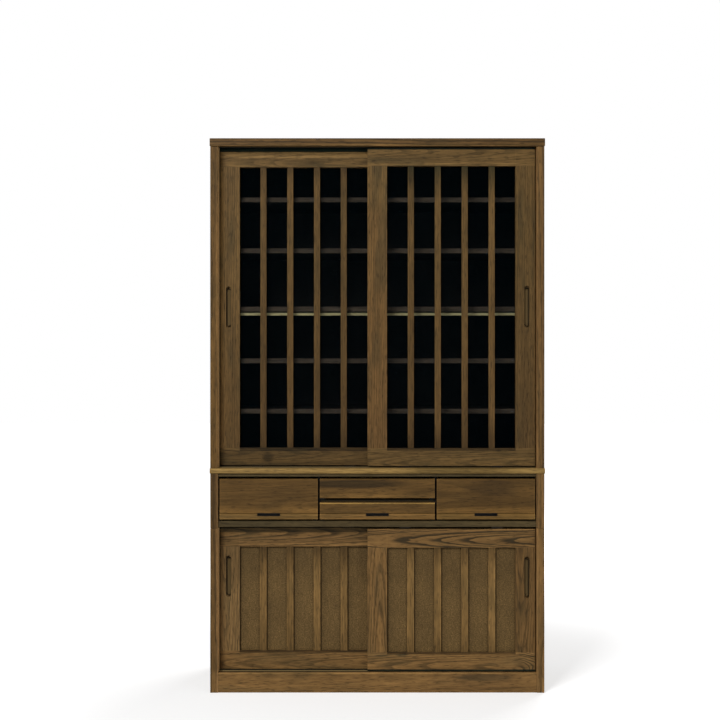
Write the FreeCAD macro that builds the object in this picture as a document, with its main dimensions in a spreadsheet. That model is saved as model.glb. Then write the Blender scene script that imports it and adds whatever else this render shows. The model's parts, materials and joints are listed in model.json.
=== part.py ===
# Kitchen cupboard of stained ash in two stacked cases. The upper case has two sliding glazed
# doors with slats, over five shelves. The lower case has a row of drawers over two sliding
# panelled doors, and stands on a plinth. The right-hand door of each pair runs in front.
# Millimetres, +Z up, front towards -Y, origin on the floor under the middle of the cupboard.
import FreeCAD, Part
import math
import os

import Sketcher

PARTS_FOLDER = "parts"
SHEET_NAME = "Sizes"
SLAT_COUNT = 4
QUARTER_TURN = 90
DEPTH_AXIS = FreeCAD.Vector(0, 1, 0)
SKETCH_NORMAL = FreeCAD.Vector(0, 0, 1)

# Driving dimensions, in millimetres.
DRIVING_SIZES = {
    # Whole cupboard
    "overall_width": 1200,
    "overall_depth": 450,
    "board_end_overhang": 1.5,
    "board_front_overhang": 5,
    "side_thickness": 28,
    "edge_round": 2,
    "back_panel_thickness": 5,
    "back_panel_inset": 10,
    "back_groove_depth": 8,
    # Heights, from the floor up
    "plinth_height": 71,
    "lower_door_floor_gap": 4,
    "lower_door_height": 509,
    "lower_door_head_gap": 8,
    "side_joint_rise": 4,
    "drawer_floor_thickness": 22,
    "drawer_floor_gap": 6,
    "drawer_front_height": 145,
    "drawer_head_gap": 8,
    "lower_top_thickness": 11,
    "sill_thickness": 20,
    "upper_door_floor_gap": 7,
    "upper_door_height": 1142,
    "upper_door_head_gap": 4,
    "top_thickness": 28,
    "sill_nose_round": 8,
    # Plinth and the boards between the lower sides
    "plinth_setback": 3,
    "plinth_rail_thickness": 15,
    "bearer_thickness": 18,
    "floor_thickness": 18,
    "rail_setback": 8,
    # Sliding doors
    "door_setback": 18,
    "door_thickness": 28,
    "door_spacing": 4,
    "door_side_clearance": 3,
    "stile_width": 70,
    "stile_round": 1.2,
    "upper_top_rail_height": 64,
    "upper_bottom_rail_height": 63,
    "lower_top_rail_height": 67,
    "lower_bottom_rail_height": 65,
    "stile_tenon_length": 30,
    "stile_tenon_thickness": 9,
    "stile_tenon_shoulder": 12,
    "upper_slat_width": 22,
    "lower_slat_width": 25,
    "slat_thickness": 10,
    "slat_setback": 3,
    "slat_tenon_length": 7,
    "slat_round": 1.2,
    "pane_thickness": 4,
    "pane_groove_depth": 8,
    "pull_width": 18,
    "pull_length": 150,
    "pull_depth": 10,
    "pull_edge_distance": 30,
    "upper_pull_height": 572,
    "lower_pull_height": 335,
    # Door tracks and glides
    "track_inset": 4,
    "track_base_thickness": 3,
    "ridge_width": 3,
    "ridge_height": 3,
    "ridge_seat_depth": 3,
    "glide_length": 40,
    "glide_width": 9,
    "glide_inset": 45,
    "glide_mortise": 12,
    "glide_clearance": 0.4,
    "guide_reach": 5,
    # Drawers
    "drawer_setback": 4,
    "drawer_front_thickness": 20,
    "drawer_depth": 395,
    "drawer_side_gap": 5,
    "drawer_between_gap": 7.5,
    "centre_drawer_width": 412,
    "centre_lower_height": 61,
    "centre_between_gap": 15,
    "centre_shelf_thickness": 7,
    "centre_shelf_rise": 0.5,
    "divider_thickness": 15,
    "drawer_stop_clearance": 0.5,
    "drawer_run_clearance": 0.4,
    "box_side_clearance": 1.5,
    "box_side_thickness": 12,
    "box_bottom_thickness": 5,
    "box_bottom_rise": 9,
    "box_bottom_groove": 6,
    "box_top_drop": 12,
    "front_round": 1.2,
    "front_strip_height": 21,
    "front_strip_proud": 3,
    "front_groove_width": 3,
    "front_groove_depth": 3,
    "slot_length": 82,
    "slot_height": 10,
    "slot_rise": 12,
    "slot_depth": 14,
    "finger_groove_width": 9,
    "finger_groove_depth": 8,
    # Shelves
    "shelf_thickness": 18,
    "shelf_front_gap": 10,
    "shelf_side_clearance": 0.5,
    "shelf_back_clearance": 2,
    "shelf_dado_depth": 8,
    "batten_depth": 16,
    "batten_height": 14,
    "batten_setback": 4,
    "batten_rebate_height": 4,
    "batten_rebate_depth": 5,
    "pin_diameter": 7,
    "pin_reach": 10,
    "pin_hole_depth": 9,
    "pin_edge_distance": 45,
    # Dowels that keep the upper case in place
    "dowel_diameter": 10,
    "dowel_depth_below": 8,
    "dowel_depth_above": 12,
    "dowel_side_distance": 90,
    "dowel_end_distance": 100,
}

# Heights of shelves, as shares of the clear height that they divide.
FIXED_SHELF_SHARE = 0.497
LOOSE_SHELF_SHARES = (0.356, 0.6815)
BASE_SHELF_SHARE = 0.5
# Places of the cross bearers, as shares of the half width inside the case.
BEARER_PLACE_SHARES = (-0.4, 0.4)

# Edges of a box, named by the two faces that meet there.
BOX_EDGES = {
    "front_left": "Edge1",
    "left_top": "Edge2",
    "left_bottom": "Edge4",
    "front_right": "Edge5",
    "right_top": "Edge6",
    "right_bottom": "Edge8",
    "front_bottom": "Edge9",
    "front_top": "Edge10",
}


def text_of(amount):
    """The expression text of a length or a plain number."""
    return amount.text if isinstance(amount, Length) else repr(amount)


def value_of(amount):
    """The present value of a length or a plain number."""
    return amount.value if isinstance(amount, Length) else amount


class Length:
    """A length kept as expression text over the sheet's cells, with its present value."""

    def __init__(self, text, value):
        self.text = text
        self.value = value

    def __add__(self, other):
        return Length(f"({self.text} + {text_of(other)})", self.value + value_of(other))

    def __sub__(self, other):
        return Length(f"({self.text} - {text_of(other)})", self.value - value_of(other))

    def __mul__(self, factor):
        return Length(f"({self.text} * {factor!r})", self.value * factor)

    def __truediv__(self, divisor):
        return Length(f"({self.text} / {divisor!r})", self.value / divisor)

    def __neg__(self):
        return Length(f"(-1 * {self.text})", -self.value)

    __radd__ = __add__
    __rmul__ = __mul__


class Sheet:
    """The driving dimensions as cells of a spreadsheet, read back as lengths by name."""

    def __init__(self, document, sizes):
        cells = document.addObject("Spreadsheet::Sheet", SHEET_NAME)
        for row, (alias, value) in enumerate(sizes.items(), start=1):
            cells.set(f"A{row}", alias)
            cells.set(f"B{row}", str(value))
            cells.setAlias(f"B{row}", alias)
            setattr(self, alias, Length(f"{SHEET_NAME}.{alias}", value))


doc = FreeCAD.newDocument("KitchenCupboard")
S = Sheet(doc, DRIVING_SIZES)
doc.recompute()
pieces = {}


def bind(thing, prop, length):
    """Tie one property of a document object to a length."""
    thing.setExpression(prop, text_of(length))


def place(thing, x, y, z):
    """Tie the position of a document object to three lengths."""
    for axis, length in zip("xyz", (x, y, z)):
        bind(thing, f"Placement.Base.{axis}", length)


def size_block(block, spans):
    """Tie the three sides of a box to its spans along X, Y and Z."""
    for prop, (low, high) in zip(("Length", "Width", "Height"), spans):
        bind(block, prop, high - low)


def low_corner(spans):
    """The lowest corner of three spans."""
    return [low for low, _ in spans]


def keep(label, thing):
    """Give a finished sub-part its own label and list it for writing."""
    thing.Label = label
    pieces[label] = thing
    return thing


def block(name, spans):
    """A square-edged block between two places on each axis."""
    made = doc.addObject("Part::Box", name)
    size_block(made, spans)
    place(made, *low_corner(spans))
    return made


def rounded_block(name, spans, edges, radius):
    """A block with the named edges rounded."""
    body = doc.addObject("PartDesign::Body", name)
    place(body, *low_corner(spans))
    blank = body.newObject("PartDesign::AdditiveBox", f"{name}_stock")
    size_block(blank, spans)
    blank.recompute()
    rounding = body.newObject("PartDesign::Fillet", f"{name}_rounding")
    rounding.Base = (blank, [BOX_EDGES[edge] for edge in edges])
    bind(rounding, "Radius", radius)
    return body


def cut_away(name, thing, *tools):
    """The thing with room for each tool cut out of it."""
    for number, tool in enumerate(tools, start=1):
        cut = doc.addObject("Part::Cut", f"{name}_cut_{number}")
        cut.Base = thing
        cut.Tool = tool
        thing = cut
    return thing


def group(name, members):
    """Separate solids that share one sub-part."""
    gathered = doc.addObject("Part::Compound", f"{name}_group")
    gathered.Links = members
    return gathered


def attach(sketch, body, role):
    """Lay a sketch on one of its own body's origin planes."""
    plane = next(item for item in body.Origin.OriginFeatures if item.Role == role)
    sketch.AttachmentSupport = [(plane, "")]
    sketch.MapMode = "FlatFace"


def pin_point(sketch, name, geometry, point, across, up):
    """Fix a sketch point at two lengths from the sketch's origin."""
    for kind, length, axis in (("DistanceX", across, -2), ("DistanceY", up, -1)):
        if value_of(length) == 0:
            sketch.addConstraint(Sketcher.Constraint("PointOnObject", geometry, point, axis))
            continue
        constraint = Sketcher.Constraint(kind, geometry, point, value_of(length))
        number = sketch.addConstraint(constraint)
        sketch.renameConstraint(number, f"{name}_{kind}")
        bind(sketch, f"Constraints.{name}_{kind}", length)


def outline(body, role, name, points):
    """A closed outline of straight lines through points given as two lengths each."""
    sketch = body.newObject("Sketcher::SketchObject", name)
    attach(sketch, body, role)
    corners = [FreeCAD.Vector(value_of(across), value_of(up), 0) for across, up in points]
    for start, end in zip(corners, corners[1:] + corners[:1]):
        sketch.addGeometry(Part.LineSegment(start, end))
    for line in range(len(points)):
        following = (line + 1) % len(points)
        sketch.addConstraint(Sketcher.Constraint("Coincident", line, 2, following, 1))
    for line, (across, up) in enumerate(points):
        pin_point(sketch, f"corner_{line}", line, 1, across, up)
    return sketch


def stadium(body, role, name, centre, width, length):
    """An upright slot outline with round ends, about a centre given as two lengths."""
    sketch = body.newObject("Sketcher::SketchObject", name)
    attach(sketch, body, role)
    across, up = centre
    radius = width / 2
    rise = (length - width) / 2
    upper = FreeCAD.Vector(value_of(across), value_of(up + rise), 0)
    lower = FreeCAD.Vector(value_of(across), value_of(up - rise), 0)
    sideways = FreeCAD.Vector(value_of(radius), 0, 0)
    top_circle = Part.Circle(upper, SKETCH_NORMAL, value_of(radius))
    bottom_circle = Part.Circle(lower, SKETCH_NORMAL, value_of(radius))
    sketch.addGeometry(Part.ArcOfCircle(top_circle, 0, math.pi))
    sketch.addGeometry(Part.LineSegment(upper - sideways, lower - sideways))
    sketch.addGeometry(Part.ArcOfCircle(bottom_circle, math.pi, 2 * math.pi))
    sketch.addGeometry(Part.LineSegment(lower + sideways, upper + sideways))
    for line in range(4):
        following = (line + 1) % 4
        sketch.addConstraint(Sketcher.Constraint("Tangent", line, 2, following, 1))
    sketch.addConstraint(Sketcher.Constraint("Vertical", 1))
    sketch.addConstraint(Sketcher.Constraint("Equal", 0, 2))
    number = sketch.addConstraint(Sketcher.Constraint("Radius", 0, value_of(radius)))
    sketch.renameConstraint(number, "end_radius")
    bind(sketch, "Constraints.end_radius", radius)
    pin_point(sketch, "upper_centre", 0, 3, across, up + rise)
    number = sketch.addConstraint(Sketcher.Constraint("DistanceY", 2, 3, value_of(up - rise)))
    sketch.renameConstraint(number, "lower_centre_DistanceY")
    bind(sketch, "Constraints.lower_centre_DistanceY", up - rise)
    return sketch


def pad(body, name, sketch, length):
    """Carry an outline straight out by a length."""
    feature = body.newObject("PartDesign::Pad", name)
    feature.Profile = sketch
    bind(feature, "Length", length)
    return feature


def pocket(body, name, sketch, depth):
    """Sink an outline into the body by a depth."""
    feature = body.newObject("PartDesign::Pocket", name)
    feature.Profile = sketch
    bind(feature, "Length", depth)
    return feature


def extrusion(name, section, corner, length):
    """A bar whose section, drawn in Y and Z from its corner, runs along X."""
    body = doc.addObject("PartDesign::Body", name)
    place(body, *corner)
    sketch = outline(body, "YZ_Plane", f"{name}_section", section)
    pad(body, f"{name}_length", sketch, length)
    return body


# Planes across the width and depth
half_width = S.overall_width / 2
side_out = half_width - S.board_end_overhang
side_in = side_out - S.side_thickness
front = -S.overall_depth / 2
back = S.overall_depth / 2
case_front = front + S.board_front_overhang
back_panel_rear = back - S.back_panel_inset
back_inner = back_panel_rear - S.back_panel_thickness
front_door_face = case_front + S.door_setback
rear_door_face = front_door_face + S.door_thickness + S.door_spacing
rear_door_back = rear_door_face + S.door_thickness
shelf_front = rear_door_back + S.shelf_front_gap
rail_front = case_front + S.rail_setback
plinth_front = case_front + S.plinth_setback
plinth_back = plinth_front + S.plinth_rail_thickness

# Levels, from the floor up
ground = Length("0", 0)
floor_low = S.plinth_height - S.floor_thickness
lower_door_low = S.plinth_height + S.lower_door_floor_gap
lower_door_high = lower_door_low + S.lower_door_height
side_joint = lower_door_high + S.side_joint_rise
drawer_floor_low = lower_door_high + S.lower_door_head_gap
drawer_floor_high = drawer_floor_low + S.drawer_floor_thickness
drawer_low = drawer_floor_high + S.drawer_floor_gap
drawer_high = drawer_low + S.drawer_front_height
lower_top_low = drawer_high + S.drawer_head_gap
lower_top_high = lower_top_low + S.lower_top_thickness
sill_high = lower_top_high + S.sill_thickness
upper_door_low = sill_high + S.upper_door_floor_gap
upper_door_high = upper_door_low + S.upper_door_height
top_low = upper_door_high + S.upper_door_head_gap
top_high = top_low + S.top_thickness

# Widths of the drawer bays
centre_half = S.centre_drawer_width / 2
divider_middle = centre_half + S.drawer_between_gap / 2
divider_inner = divider_middle - S.divider_thickness / 2
divider_outer = divider_middle + S.divider_thickness / 2

# Spans shared by several boards
inside_x = (-side_in, side_in)
back_panel_x = (-side_in - S.back_groove_depth, side_in + S.back_groove_depth)
back_panel_y = (back_inner, back_panel_rear)
full_x = (-half_width, half_width)
full_y = (front, back)
side_y = (case_front, back)
left_side_x = (-side_out, -side_in)
right_side_x = (side_in, side_out)
shelf_x = (-side_in + S.shelf_side_clearance, side_in - S.shelf_side_clearance)
shelf_y = (shelf_front, back_inner - S.shelf_back_clearance)


def shelf_span(low, high, share):
    """Where a shelf lies in height, its middle at a share of the way from low to high."""
    middle = low + (high - low) * share
    return (middle - S.shelf_thickness / 2, middle + S.shelf_thickness / 2)


def shelf_pins(name, shelf_low):
    """The four pins under one shelf, two in each side."""
    made = []
    pin_radius = S.pin_diameter / 2
    pin_length = S.pin_reach + S.pin_hole_depth
    starts = {"left": -side_in - S.pin_hole_depth, "right": side_in - S.pin_reach}
    rows = {"front": shelf_y[0] + S.pin_edge_distance, "back": shelf_y[1] - S.pin_edge_distance}
    for side, start in starts.items():
        for row, middle in rows.items():
            pin = doc.addObject("Part::Cylinder", f"{name}_{side}_{row}_pin")
            pin.Placement = FreeCAD.Placement(FreeCAD.Vector(), FreeCAD.Rotation(DEPTH_AXIS, QUARTER_TURN))
            bind(pin, "Radius", pin_radius)
            bind(pin, "Height", pin_length)
            place(pin, start, middle, shelf_low - pin_radius)
            made.append(pin)
    return made


# Shelves and the pins under them
fixed_shelf_z = shelf_span(sill_high, top_low, FIXED_SHELF_SHARE)
base_shelf_z = shelf_span(S.plinth_height, drawer_floor_low, BASE_SHELF_SHARE)
bays = {"lower_bay": (sill_high, fixed_shelf_z[0]), "upper_bay": (fixed_shelf_z[1], top_low)}
loose_shelf_z = {}
for bay, (low, high) in bays.items():
    for count, share in enumerate(LOOSE_SHELF_SHARES, start=1):
        loose_shelf_z[f"{bay}_shelf_{count}"] = shelf_span(low, high, share)

front_edges = ("front_bottom", "front_top")
loose_shelves = []
all_pins = []
for name, span in loose_shelf_z.items():
    loose_shelves.append(rounded_block(name, (shelf_x, shelf_y, span), front_edges, S.edge_round))
    all_pins.extend(shelf_pins(name, span[0]))
keep("loose_shelves", group("loose_shelves", loose_shelves))
keep("base_shelf", rounded_block("base_shelf", (shelf_x, shelf_y, base_shelf_z), front_edges, S.edge_round))
all_pins.extend(shelf_pins("base_shelf", base_shelf_z[0]))
pins = keep("shelf_pins", group("shelf_pins", all_pins))

fixed_shelf_x = (-side_in - S.shelf_dado_depth, side_in + S.shelf_dado_depth)
fixed_shelf_spans = (fixed_shelf_x, (shelf_front, back_inner), fixed_shelf_z)
fixed_shelf = keep(
    "fixed_shelf",
    rounded_block("fixed_shelf", fixed_shelf_spans, front_edges, S.edge_round),
)
batten_step = S.batten_height - S.batten_rebate_height
batten_section = [
    (0, 0),
    (S.batten_depth, 0),
    (S.batten_depth, S.batten_height),
    (S.batten_rebate_depth, S.batten_height),
    (S.batten_rebate_depth, batten_step),
    (0, batten_step),
]
batten_corner = (-side_in, shelf_front + S.batten_setback, fixed_shelf_z[0] - S.batten_height)
keep(
    "fixed_shelf_batten",
    extrusion("fixed_shelf_batten", batten_section, batten_corner, side_in * 2),
)

# Back panels, let into grooves in the sides
upper_back = keep(
    "upper_back_panel",
    block("upper_back_panel", (back_panel_x, back_panel_y, (sill_high, top_low))),
)
base_back = keep(
    "base_back_panel",
    block("base_back_panel", (back_panel_x, back_panel_y, (floor_low, lower_top_high))),
)

# Side panels, each with its visible edges rounded
for hand, side_x in (("left", left_side_x), ("right", right_side_x)):
    uprights = ("front_left", "front_right")
    ends = ("front_bottom", "front_top", f"{hand}_bottom", f"{hand}_top")
    base_stock = rounded_block(
        f"base_{hand}_stock",
        (side_x, side_y, (ground, side_joint)),
        uprights + ("front_top", f"{hand}_top"),
        S.edge_round,
    )
    keep(f"base_{hand}_side", cut_away(f"base_{hand}_side", base_stock, base_back, pins))
    drawer_stock = rounded_block(
        f"drawer_case_{hand}_stock",
        (side_x, side_y, (side_joint, lower_top_high)),
        uprights + ends,
        S.edge_round,
    )
    keep(f"drawer_case_{hand}_side", cut_away(f"drawer_case_{hand}_side", drawer_stock, base_back))
    upper_stock = rounded_block(
        f"upper_{hand}_stock",
        (side_x, side_y, (sill_high, top_low)),
        uprights + ends,
        S.edge_round,
    )
    keep(
        f"upper_{hand}_side",
        cut_away(f"upper_{hand}_side", upper_stock, upper_back, fixed_shelf, pins),
    )

# Door tracks: two strips let into the floor carry each pair of doors, two channels above guide it
door_middles = (front_door_face + S.door_thickness / 2, rear_door_back - S.door_thickness / 2)
track_y = (front_door_face + S.track_inset, rear_door_back - S.track_inset)
track_depth = track_y[1] - track_y[0]
channel_height = S.guide_reach + S.glide_clearance
channel_width = S.glide_width + S.glide_clearance * 2
head_track_height = channel_height + S.track_base_thickness


def sill_track(name, floor_level):
    """A strip under the middle of each door, partly let into the board below."""
    strips = []
    for middle in door_middles:
        strip_y = (middle - S.ridge_width / 2, middle + S.ridge_width / 2)
        strip_z = (floor_level - S.ridge_seat_depth, floor_level + S.ridge_height)
        strips.append(block(f"{name}_strip", (inside_x, strip_y, strip_z)))
    return group(name, strips)


def head_track_section():
    """A flat base with a channel, open below, over the middle of each door."""
    points = [(0, head_track_height), (0, 0)]
    for middle in door_middles:
        near_edge = middle - channel_width / 2 - track_y[0]
        far_edge = middle + channel_width / 2 - track_y[0]
        points += [(near_edge, 0), (near_edge, channel_height)]
        points += [(far_edge, channel_height), (far_edge, 0)]
    return points + [(track_depth, 0), (track_depth, head_track_height)]


def door_tracks(case, floor_level, head_level):
    """Both tracks of a case, and what the boards are cut by to seat them."""
    sill = keep(f"{case}_sill_track", sill_track(f"{case}_sill_track", floor_level))
    head_name = f"{case}_head_track"
    head_corner = (-side_in, track_y[0], head_level)
    keep(head_name, extrusion(head_name, head_track_section(), head_corner, side_in * 2))
    head_seat_z = (head_level, head_level + head_track_height)
    return {"sill": sill, "head": block(f"{head_name}_seat", (inside_x, track_y, head_seat_z))}


base_seats = door_tracks("base", S.plinth_height, drawer_floor_low)
upper_seats = door_tracks("upper", sill_high, top_low)

# Dowels between the two cases
dowels = []
for dowel_x in (-side_in + S.dowel_side_distance, side_in - S.dowel_side_distance):
    for dowel_y in (case_front + S.dowel_end_distance, back - S.dowel_end_distance):
        dowel = doc.addObject("Part::Cylinder", "case_dowel")
        bind(dowel, "Radius", S.dowel_diameter / 2)
        bind(dowel, "Height", S.dowel_depth_below + S.dowel_depth_above)
        place(dowel, dowel_x, dowel_y, lower_top_high - S.dowel_depth_below)
        dowels.append(dowel)
case_dowels = keep("case_dowels", group("case_dowels", dowels))

# Boards of the upper case
top_edges = ("front_bottom", "front_top", "left_top", "right_top", "left_bottom", "right_bottom")
top_stock = rounded_block("top_stock", (full_x, full_y, (top_low, top_high)), top_edges, S.edge_round)
keep("top_board", cut_away("top_board", top_stock, upper_seats["head"]))
sill_stock = rounded_block(
    "sill_stock", (full_x, full_y, (lower_top_high, sill_high)), front_edges, S.sill_nose_round
)
keep("sill_board", cut_away("sill_board", sill_stock, upper_seats["sill"], case_dowels))

# Boards of the lower case
lower_top_stock = rounded_block(
    "lower_top_stock",
    (inside_x, (rail_front, back_inner), (lower_top_low, lower_top_high)),
    ("front_bottom",),
    S.edge_round,
)
keep("lower_top_board", cut_away("lower_top_board", lower_top_stock, case_dowels))
drawer_floor_stock = rounded_block(
    "drawer_floor_stock",
    (inside_x, (rail_front, back_inner), (drawer_floor_low, drawer_floor_high)),
    front_edges,
    S.edge_round,
)
keep("drawer_floor_board", cut_away("drawer_floor_board", drawer_floor_stock, base_seats["head"]))
base_floor_spans = (inside_x, (plinth_back, back_inner), (floor_low, S.plinth_height))
base_floor_stock = block("base_floor_stock", base_floor_spans)
keep("base_floor_board", cut_away("base_floor_board", base_floor_stock, base_seats["sill"]))

# Plinth: a front rail that shows, and the bearers behind it
keep(
    "plinth_front_rail",
    rounded_block(
        "plinth_front_rail",
        (inside_x, (plinth_front, plinth_back), (ground, S.plinth_height)),
        ("front_top",),
        S.edge_round,
    ),
)
back_rail_front = back_inner - S.bearer_thickness
bearers = [block("plinth_back_rail", (inside_x, (back_rail_front, back_inner), (ground, floor_low)))]
for share in BEARER_PLACE_SHARES:
    middle = side_in * share
    bearer_x = (middle - S.bearer_thickness / 2, middle + S.bearer_thickness / 2)
    bearers.append(block("plinth_bearer", (bearer_x, (plinth_back, back_rail_front), (ground, floor_low))))
keep("plinth_bearers", group("plinth_bearers", bearers))

# Drawer bay: two dividers and the thin shelf between the centre drawers
drawer_face = case_front + S.drawer_setback
drawer_front_back = drawer_face + S.drawer_front_thickness
bay_y = (drawer_front_back + S.drawer_stop_clearance, back_inner)
bay_z = (drawer_floor_high, lower_top_low)
dividers = [
    block("left_divider", ((-divider_outer, -divider_inner), bay_y, bay_z)),
    block("right_divider", ((divider_inner, divider_outer), bay_y, bay_z)),
]
keep("drawer_dividers", group("drawer_dividers", dividers))
centre_lower_high = drawer_low + S.centre_lower_height
centre_upper_low = centre_lower_high + S.centre_between_gap
centre_shelf_low = centre_lower_high + S.centre_shelf_rise
centre_shelf_high = centre_shelf_low + S.centre_shelf_thickness
keep(
    "centre_drawer_shelf",
    block(
        "centre_drawer_shelf",
        ((-divider_inner, divider_inner), bay_y, (centre_shelf_low, centre_shelf_high)),
    ),
)


def sloped_front_section(height):
    """A drawer front's section: a flat face, a V groove, and a strip that leans out below it."""
    depth = S.drawer_front_thickness
    face = S.front_strip_proud
    groove_low = S.front_strip_height - S.front_groove_width / 2
    groove_high = S.front_strip_height + S.front_groove_width / 2
    return [
        (0, S.front_round),
        (S.front_round, 0),
        (depth, 0),
        (depth, height),
        (face + S.front_round, height),
        (face, height - S.front_round),
        (face, groove_high),
        (face + S.front_groove_depth, S.front_strip_height),
        (face, groove_low),
    ]


def plain_front_section(height):
    """A drawer front's section: a flat face, and a finger groove up into its underside."""
    depth = S.drawer_front_thickness
    face = S.front_strip_proud
    middle = (face + depth) / 2
    groove_near = middle - S.finger_groove_width / 2
    groove_far = middle + S.finger_groove_width / 2
    return [
        (face, S.front_round),
        (face + S.front_round, 0),
        (groove_near, 0),
        (groove_near, S.finger_groove_depth),
        (groove_far, S.finger_groove_depth),
        (groove_far, 0),
        (depth, 0),
        (depth, height),
        (face + S.front_round, height),
        (face, height - S.front_round),
    ]


def slotted_front(name, span_x, span_z):
    """A drawer front with a groove across it and a finger slot in the strip under the groove."""
    length = span_x[1] - span_x[0]
    section = sloped_front_section(span_z[1] - span_z[0])
    body = extrusion(name, section, (span_x[0], drawer_face, span_z[0]), length)
    slot_left = (length - S.slot_length) / 2
    slot_right = (length + S.slot_length) / 2
    slot_low = S.slot_rise
    slot_high = S.slot_rise + S.slot_height
    slot_foot = [(slot_left, slot_low), (slot_right, slot_low)]
    slot_head = [(slot_right, slot_high), (slot_left, slot_high)]
    corners = slot_foot + slot_head
    body.Tip.recompute()
    sketch = outline(body, "XZ_Plane", f"{name}_slot_outline", corners)
    pocket(body, f"{name}_slot", sketch, S.slot_depth)
    return body


def drawer_box(name, span_x, span_z):
    """Two sides, a back and a bottom that is let into them."""
    box_y = (drawer_front_back, drawer_face + S.drawer_depth)
    wall = S.box_side_thickness
    bottom_z = (span_z[0] + S.box_bottom_rise, span_z[0] + S.box_bottom_rise + S.box_bottom_thickness)
    inner_x = (span_x[0] + wall, span_x[1] - wall)
    bottom_x = (inner_x[0] - S.box_bottom_groove, inner_x[1] + S.box_bottom_groove)
    bottom = block(f"{name}_bottom", (bottom_x, box_y, bottom_z))
    left_stock = block(f"{name}_left_stock", ((span_x[0], inner_x[0]), box_y, span_z))
    right_stock = block(f"{name}_right_stock", ((inner_x[1], span_x[1]), box_y, span_z))
    back_y = (box_y[1] - wall, box_y[1])
    rear = block(f"{name}_back", (inner_x, back_y, (bottom_z[1], span_z[1])))
    left = cut_away(f"{name}_left", left_stock, bottom)
    right = cut_away(f"{name}_right", right_stock, bottom)
    return group(name, [left, right, rear, bottom])


# Drawers
bay_clear = S.box_side_clearance
side_box_x = (-side_in + bay_clear, -divider_outer - bay_clear)
side_front_x = (-side_in + S.drawer_side_gap, -centre_half - S.drawer_between_gap)
floor_run = drawer_floor_high + S.drawer_run_clearance
shelf_run = centre_shelf_high + S.drawer_run_clearance
centre_box_x = (-divider_inner + bay_clear, divider_inner - bay_clear)
tall_box_z = (floor_run, drawer_high - S.box_top_drop)
for hand, mirror in (("left", False), ("right", True)):
    front_x = (-side_front_x[1], -side_front_x[0]) if mirror else side_front_x
    box_x = (-side_box_x[1], -side_box_x[0]) if mirror else side_box_x
    name = f"{hand}_drawer"
    keep(f"{name}_front", slotted_front(f"{name}_front", front_x, (drawer_low, drawer_high)))
    keep(f"{name}_box", drawer_box(f"{name}_box", box_x, tall_box_z))

centre_x = (-centre_half, centre_half)
keep(
    "centre_lower_drawer_front",
    slotted_front("centre_lower_drawer_front", centre_x, (drawer_low, centre_lower_high)),
)
centre_lower_box_z = (floor_run, centre_lower_high - S.box_top_drop)
keep(
    "centre_lower_drawer_box",
    drawer_box("centre_lower_drawer_box", centre_box_x, centre_lower_box_z),
)
keep(
    "centre_upper_drawer_front",
    extrusion(
        "centre_upper_drawer_front",
        plain_front_section(drawer_high - centre_upper_low),
        (-centre_half, drawer_face, centre_upper_low),
        S.centre_drawer_width,
    ),
)
centre_upper_box_z = (shelf_run, drawer_high - S.box_top_drop)
keep(
    "centre_upper_drawer_box",
    drawer_box("centre_upper_drawer_box", centre_box_x, centre_upper_box_z),
)


def door_glides(name, rail_x, middle_y, floor_level, door_z, head_level):
    """Two shoes that straddle the sill track's ridge, two guides in the head track's channel."""
    glide_y = (middle_y - S.glide_width / 2, middle_y + S.glide_width / 2)
    gap = S.glide_clearance
    straddle_y = (middle_y - S.ridge_width / 2 - gap, middle_y + S.ridge_width / 2 + gap)
    shoe_z = (floor_level + gap, door_z[0] + S.glide_mortise)
    straddle_z = (floor_level, floor_level + S.ridge_height + gap)
    guide_z = (door_z[1] - S.glide_mortise, head_level + S.guide_reach)
    starts = {"left": rail_x[0] + S.glide_inset, "right": rail_x[1] - S.glide_inset - S.glide_length}
    made = []
    for side, start in starts.items():
        glide_x = (start, start + S.glide_length)
        shoe_stock = block(f"{name}_{side}_shoe_stock", (glide_x, glide_y, shoe_z))
        straddle = block(f"{name}_{side}_straddle", (glide_x, straddle_y, straddle_z))
        made.append(cut_away(f"{name}_{side}_shoe", shoe_stock, straddle))
        made.append(block(f"{name}_{side}_guide", (glide_x, glide_y, guide_z)))
    return group(name, made)


def tenoned_stile(name, stile, span_x, door_y, clear_z):
    """A stile with a stub tenon at each end."""
    middle_y = (door_y[0] + door_y[1]) / 2
    tenon_x = (span_x[0] + S.stile_tenon_shoulder, span_x[1] - S.stile_tenon_shoulder)
    tenon_y = (middle_y - S.stile_tenon_thickness / 2, middle_y + S.stile_tenon_thickness / 2)
    foot_z = (clear_z[0] - S.stile_tenon_length, clear_z[0])
    head_z = (clear_z[1], clear_z[1] + S.stile_tenon_length)
    joined = doc.addObject("Part::MultiFuse", f"{name}_stock")
    joined.Shapes = [stile] + [block(f"{name}_tenon", (tenon_x, tenon_y, z)) for z in (foot_z, head_z)]
    return joined


def pull_stile(name, span_x, door_y, clear_z, outer_edge, pull_rise):
    """The outer stile, its outer edge rounded, with a round-ended finger recess."""
    body = rounded_block(name, (span_x, door_y, clear_z), (f"front_{outer_edge}",), S.stile_round)
    body.Tip.recompute()
    from_edge = S.pull_edge_distance
    across = from_edge if outer_edge == "left" else S.stile_width - from_edge
    sketch = stadium(
        body, "XZ_Plane", f"{name}_recess_outline", (across, pull_rise), S.pull_width, S.pull_length
    )
    pocket(body, f"{name}_recess", sketch, S.pull_depth)
    return body


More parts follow.
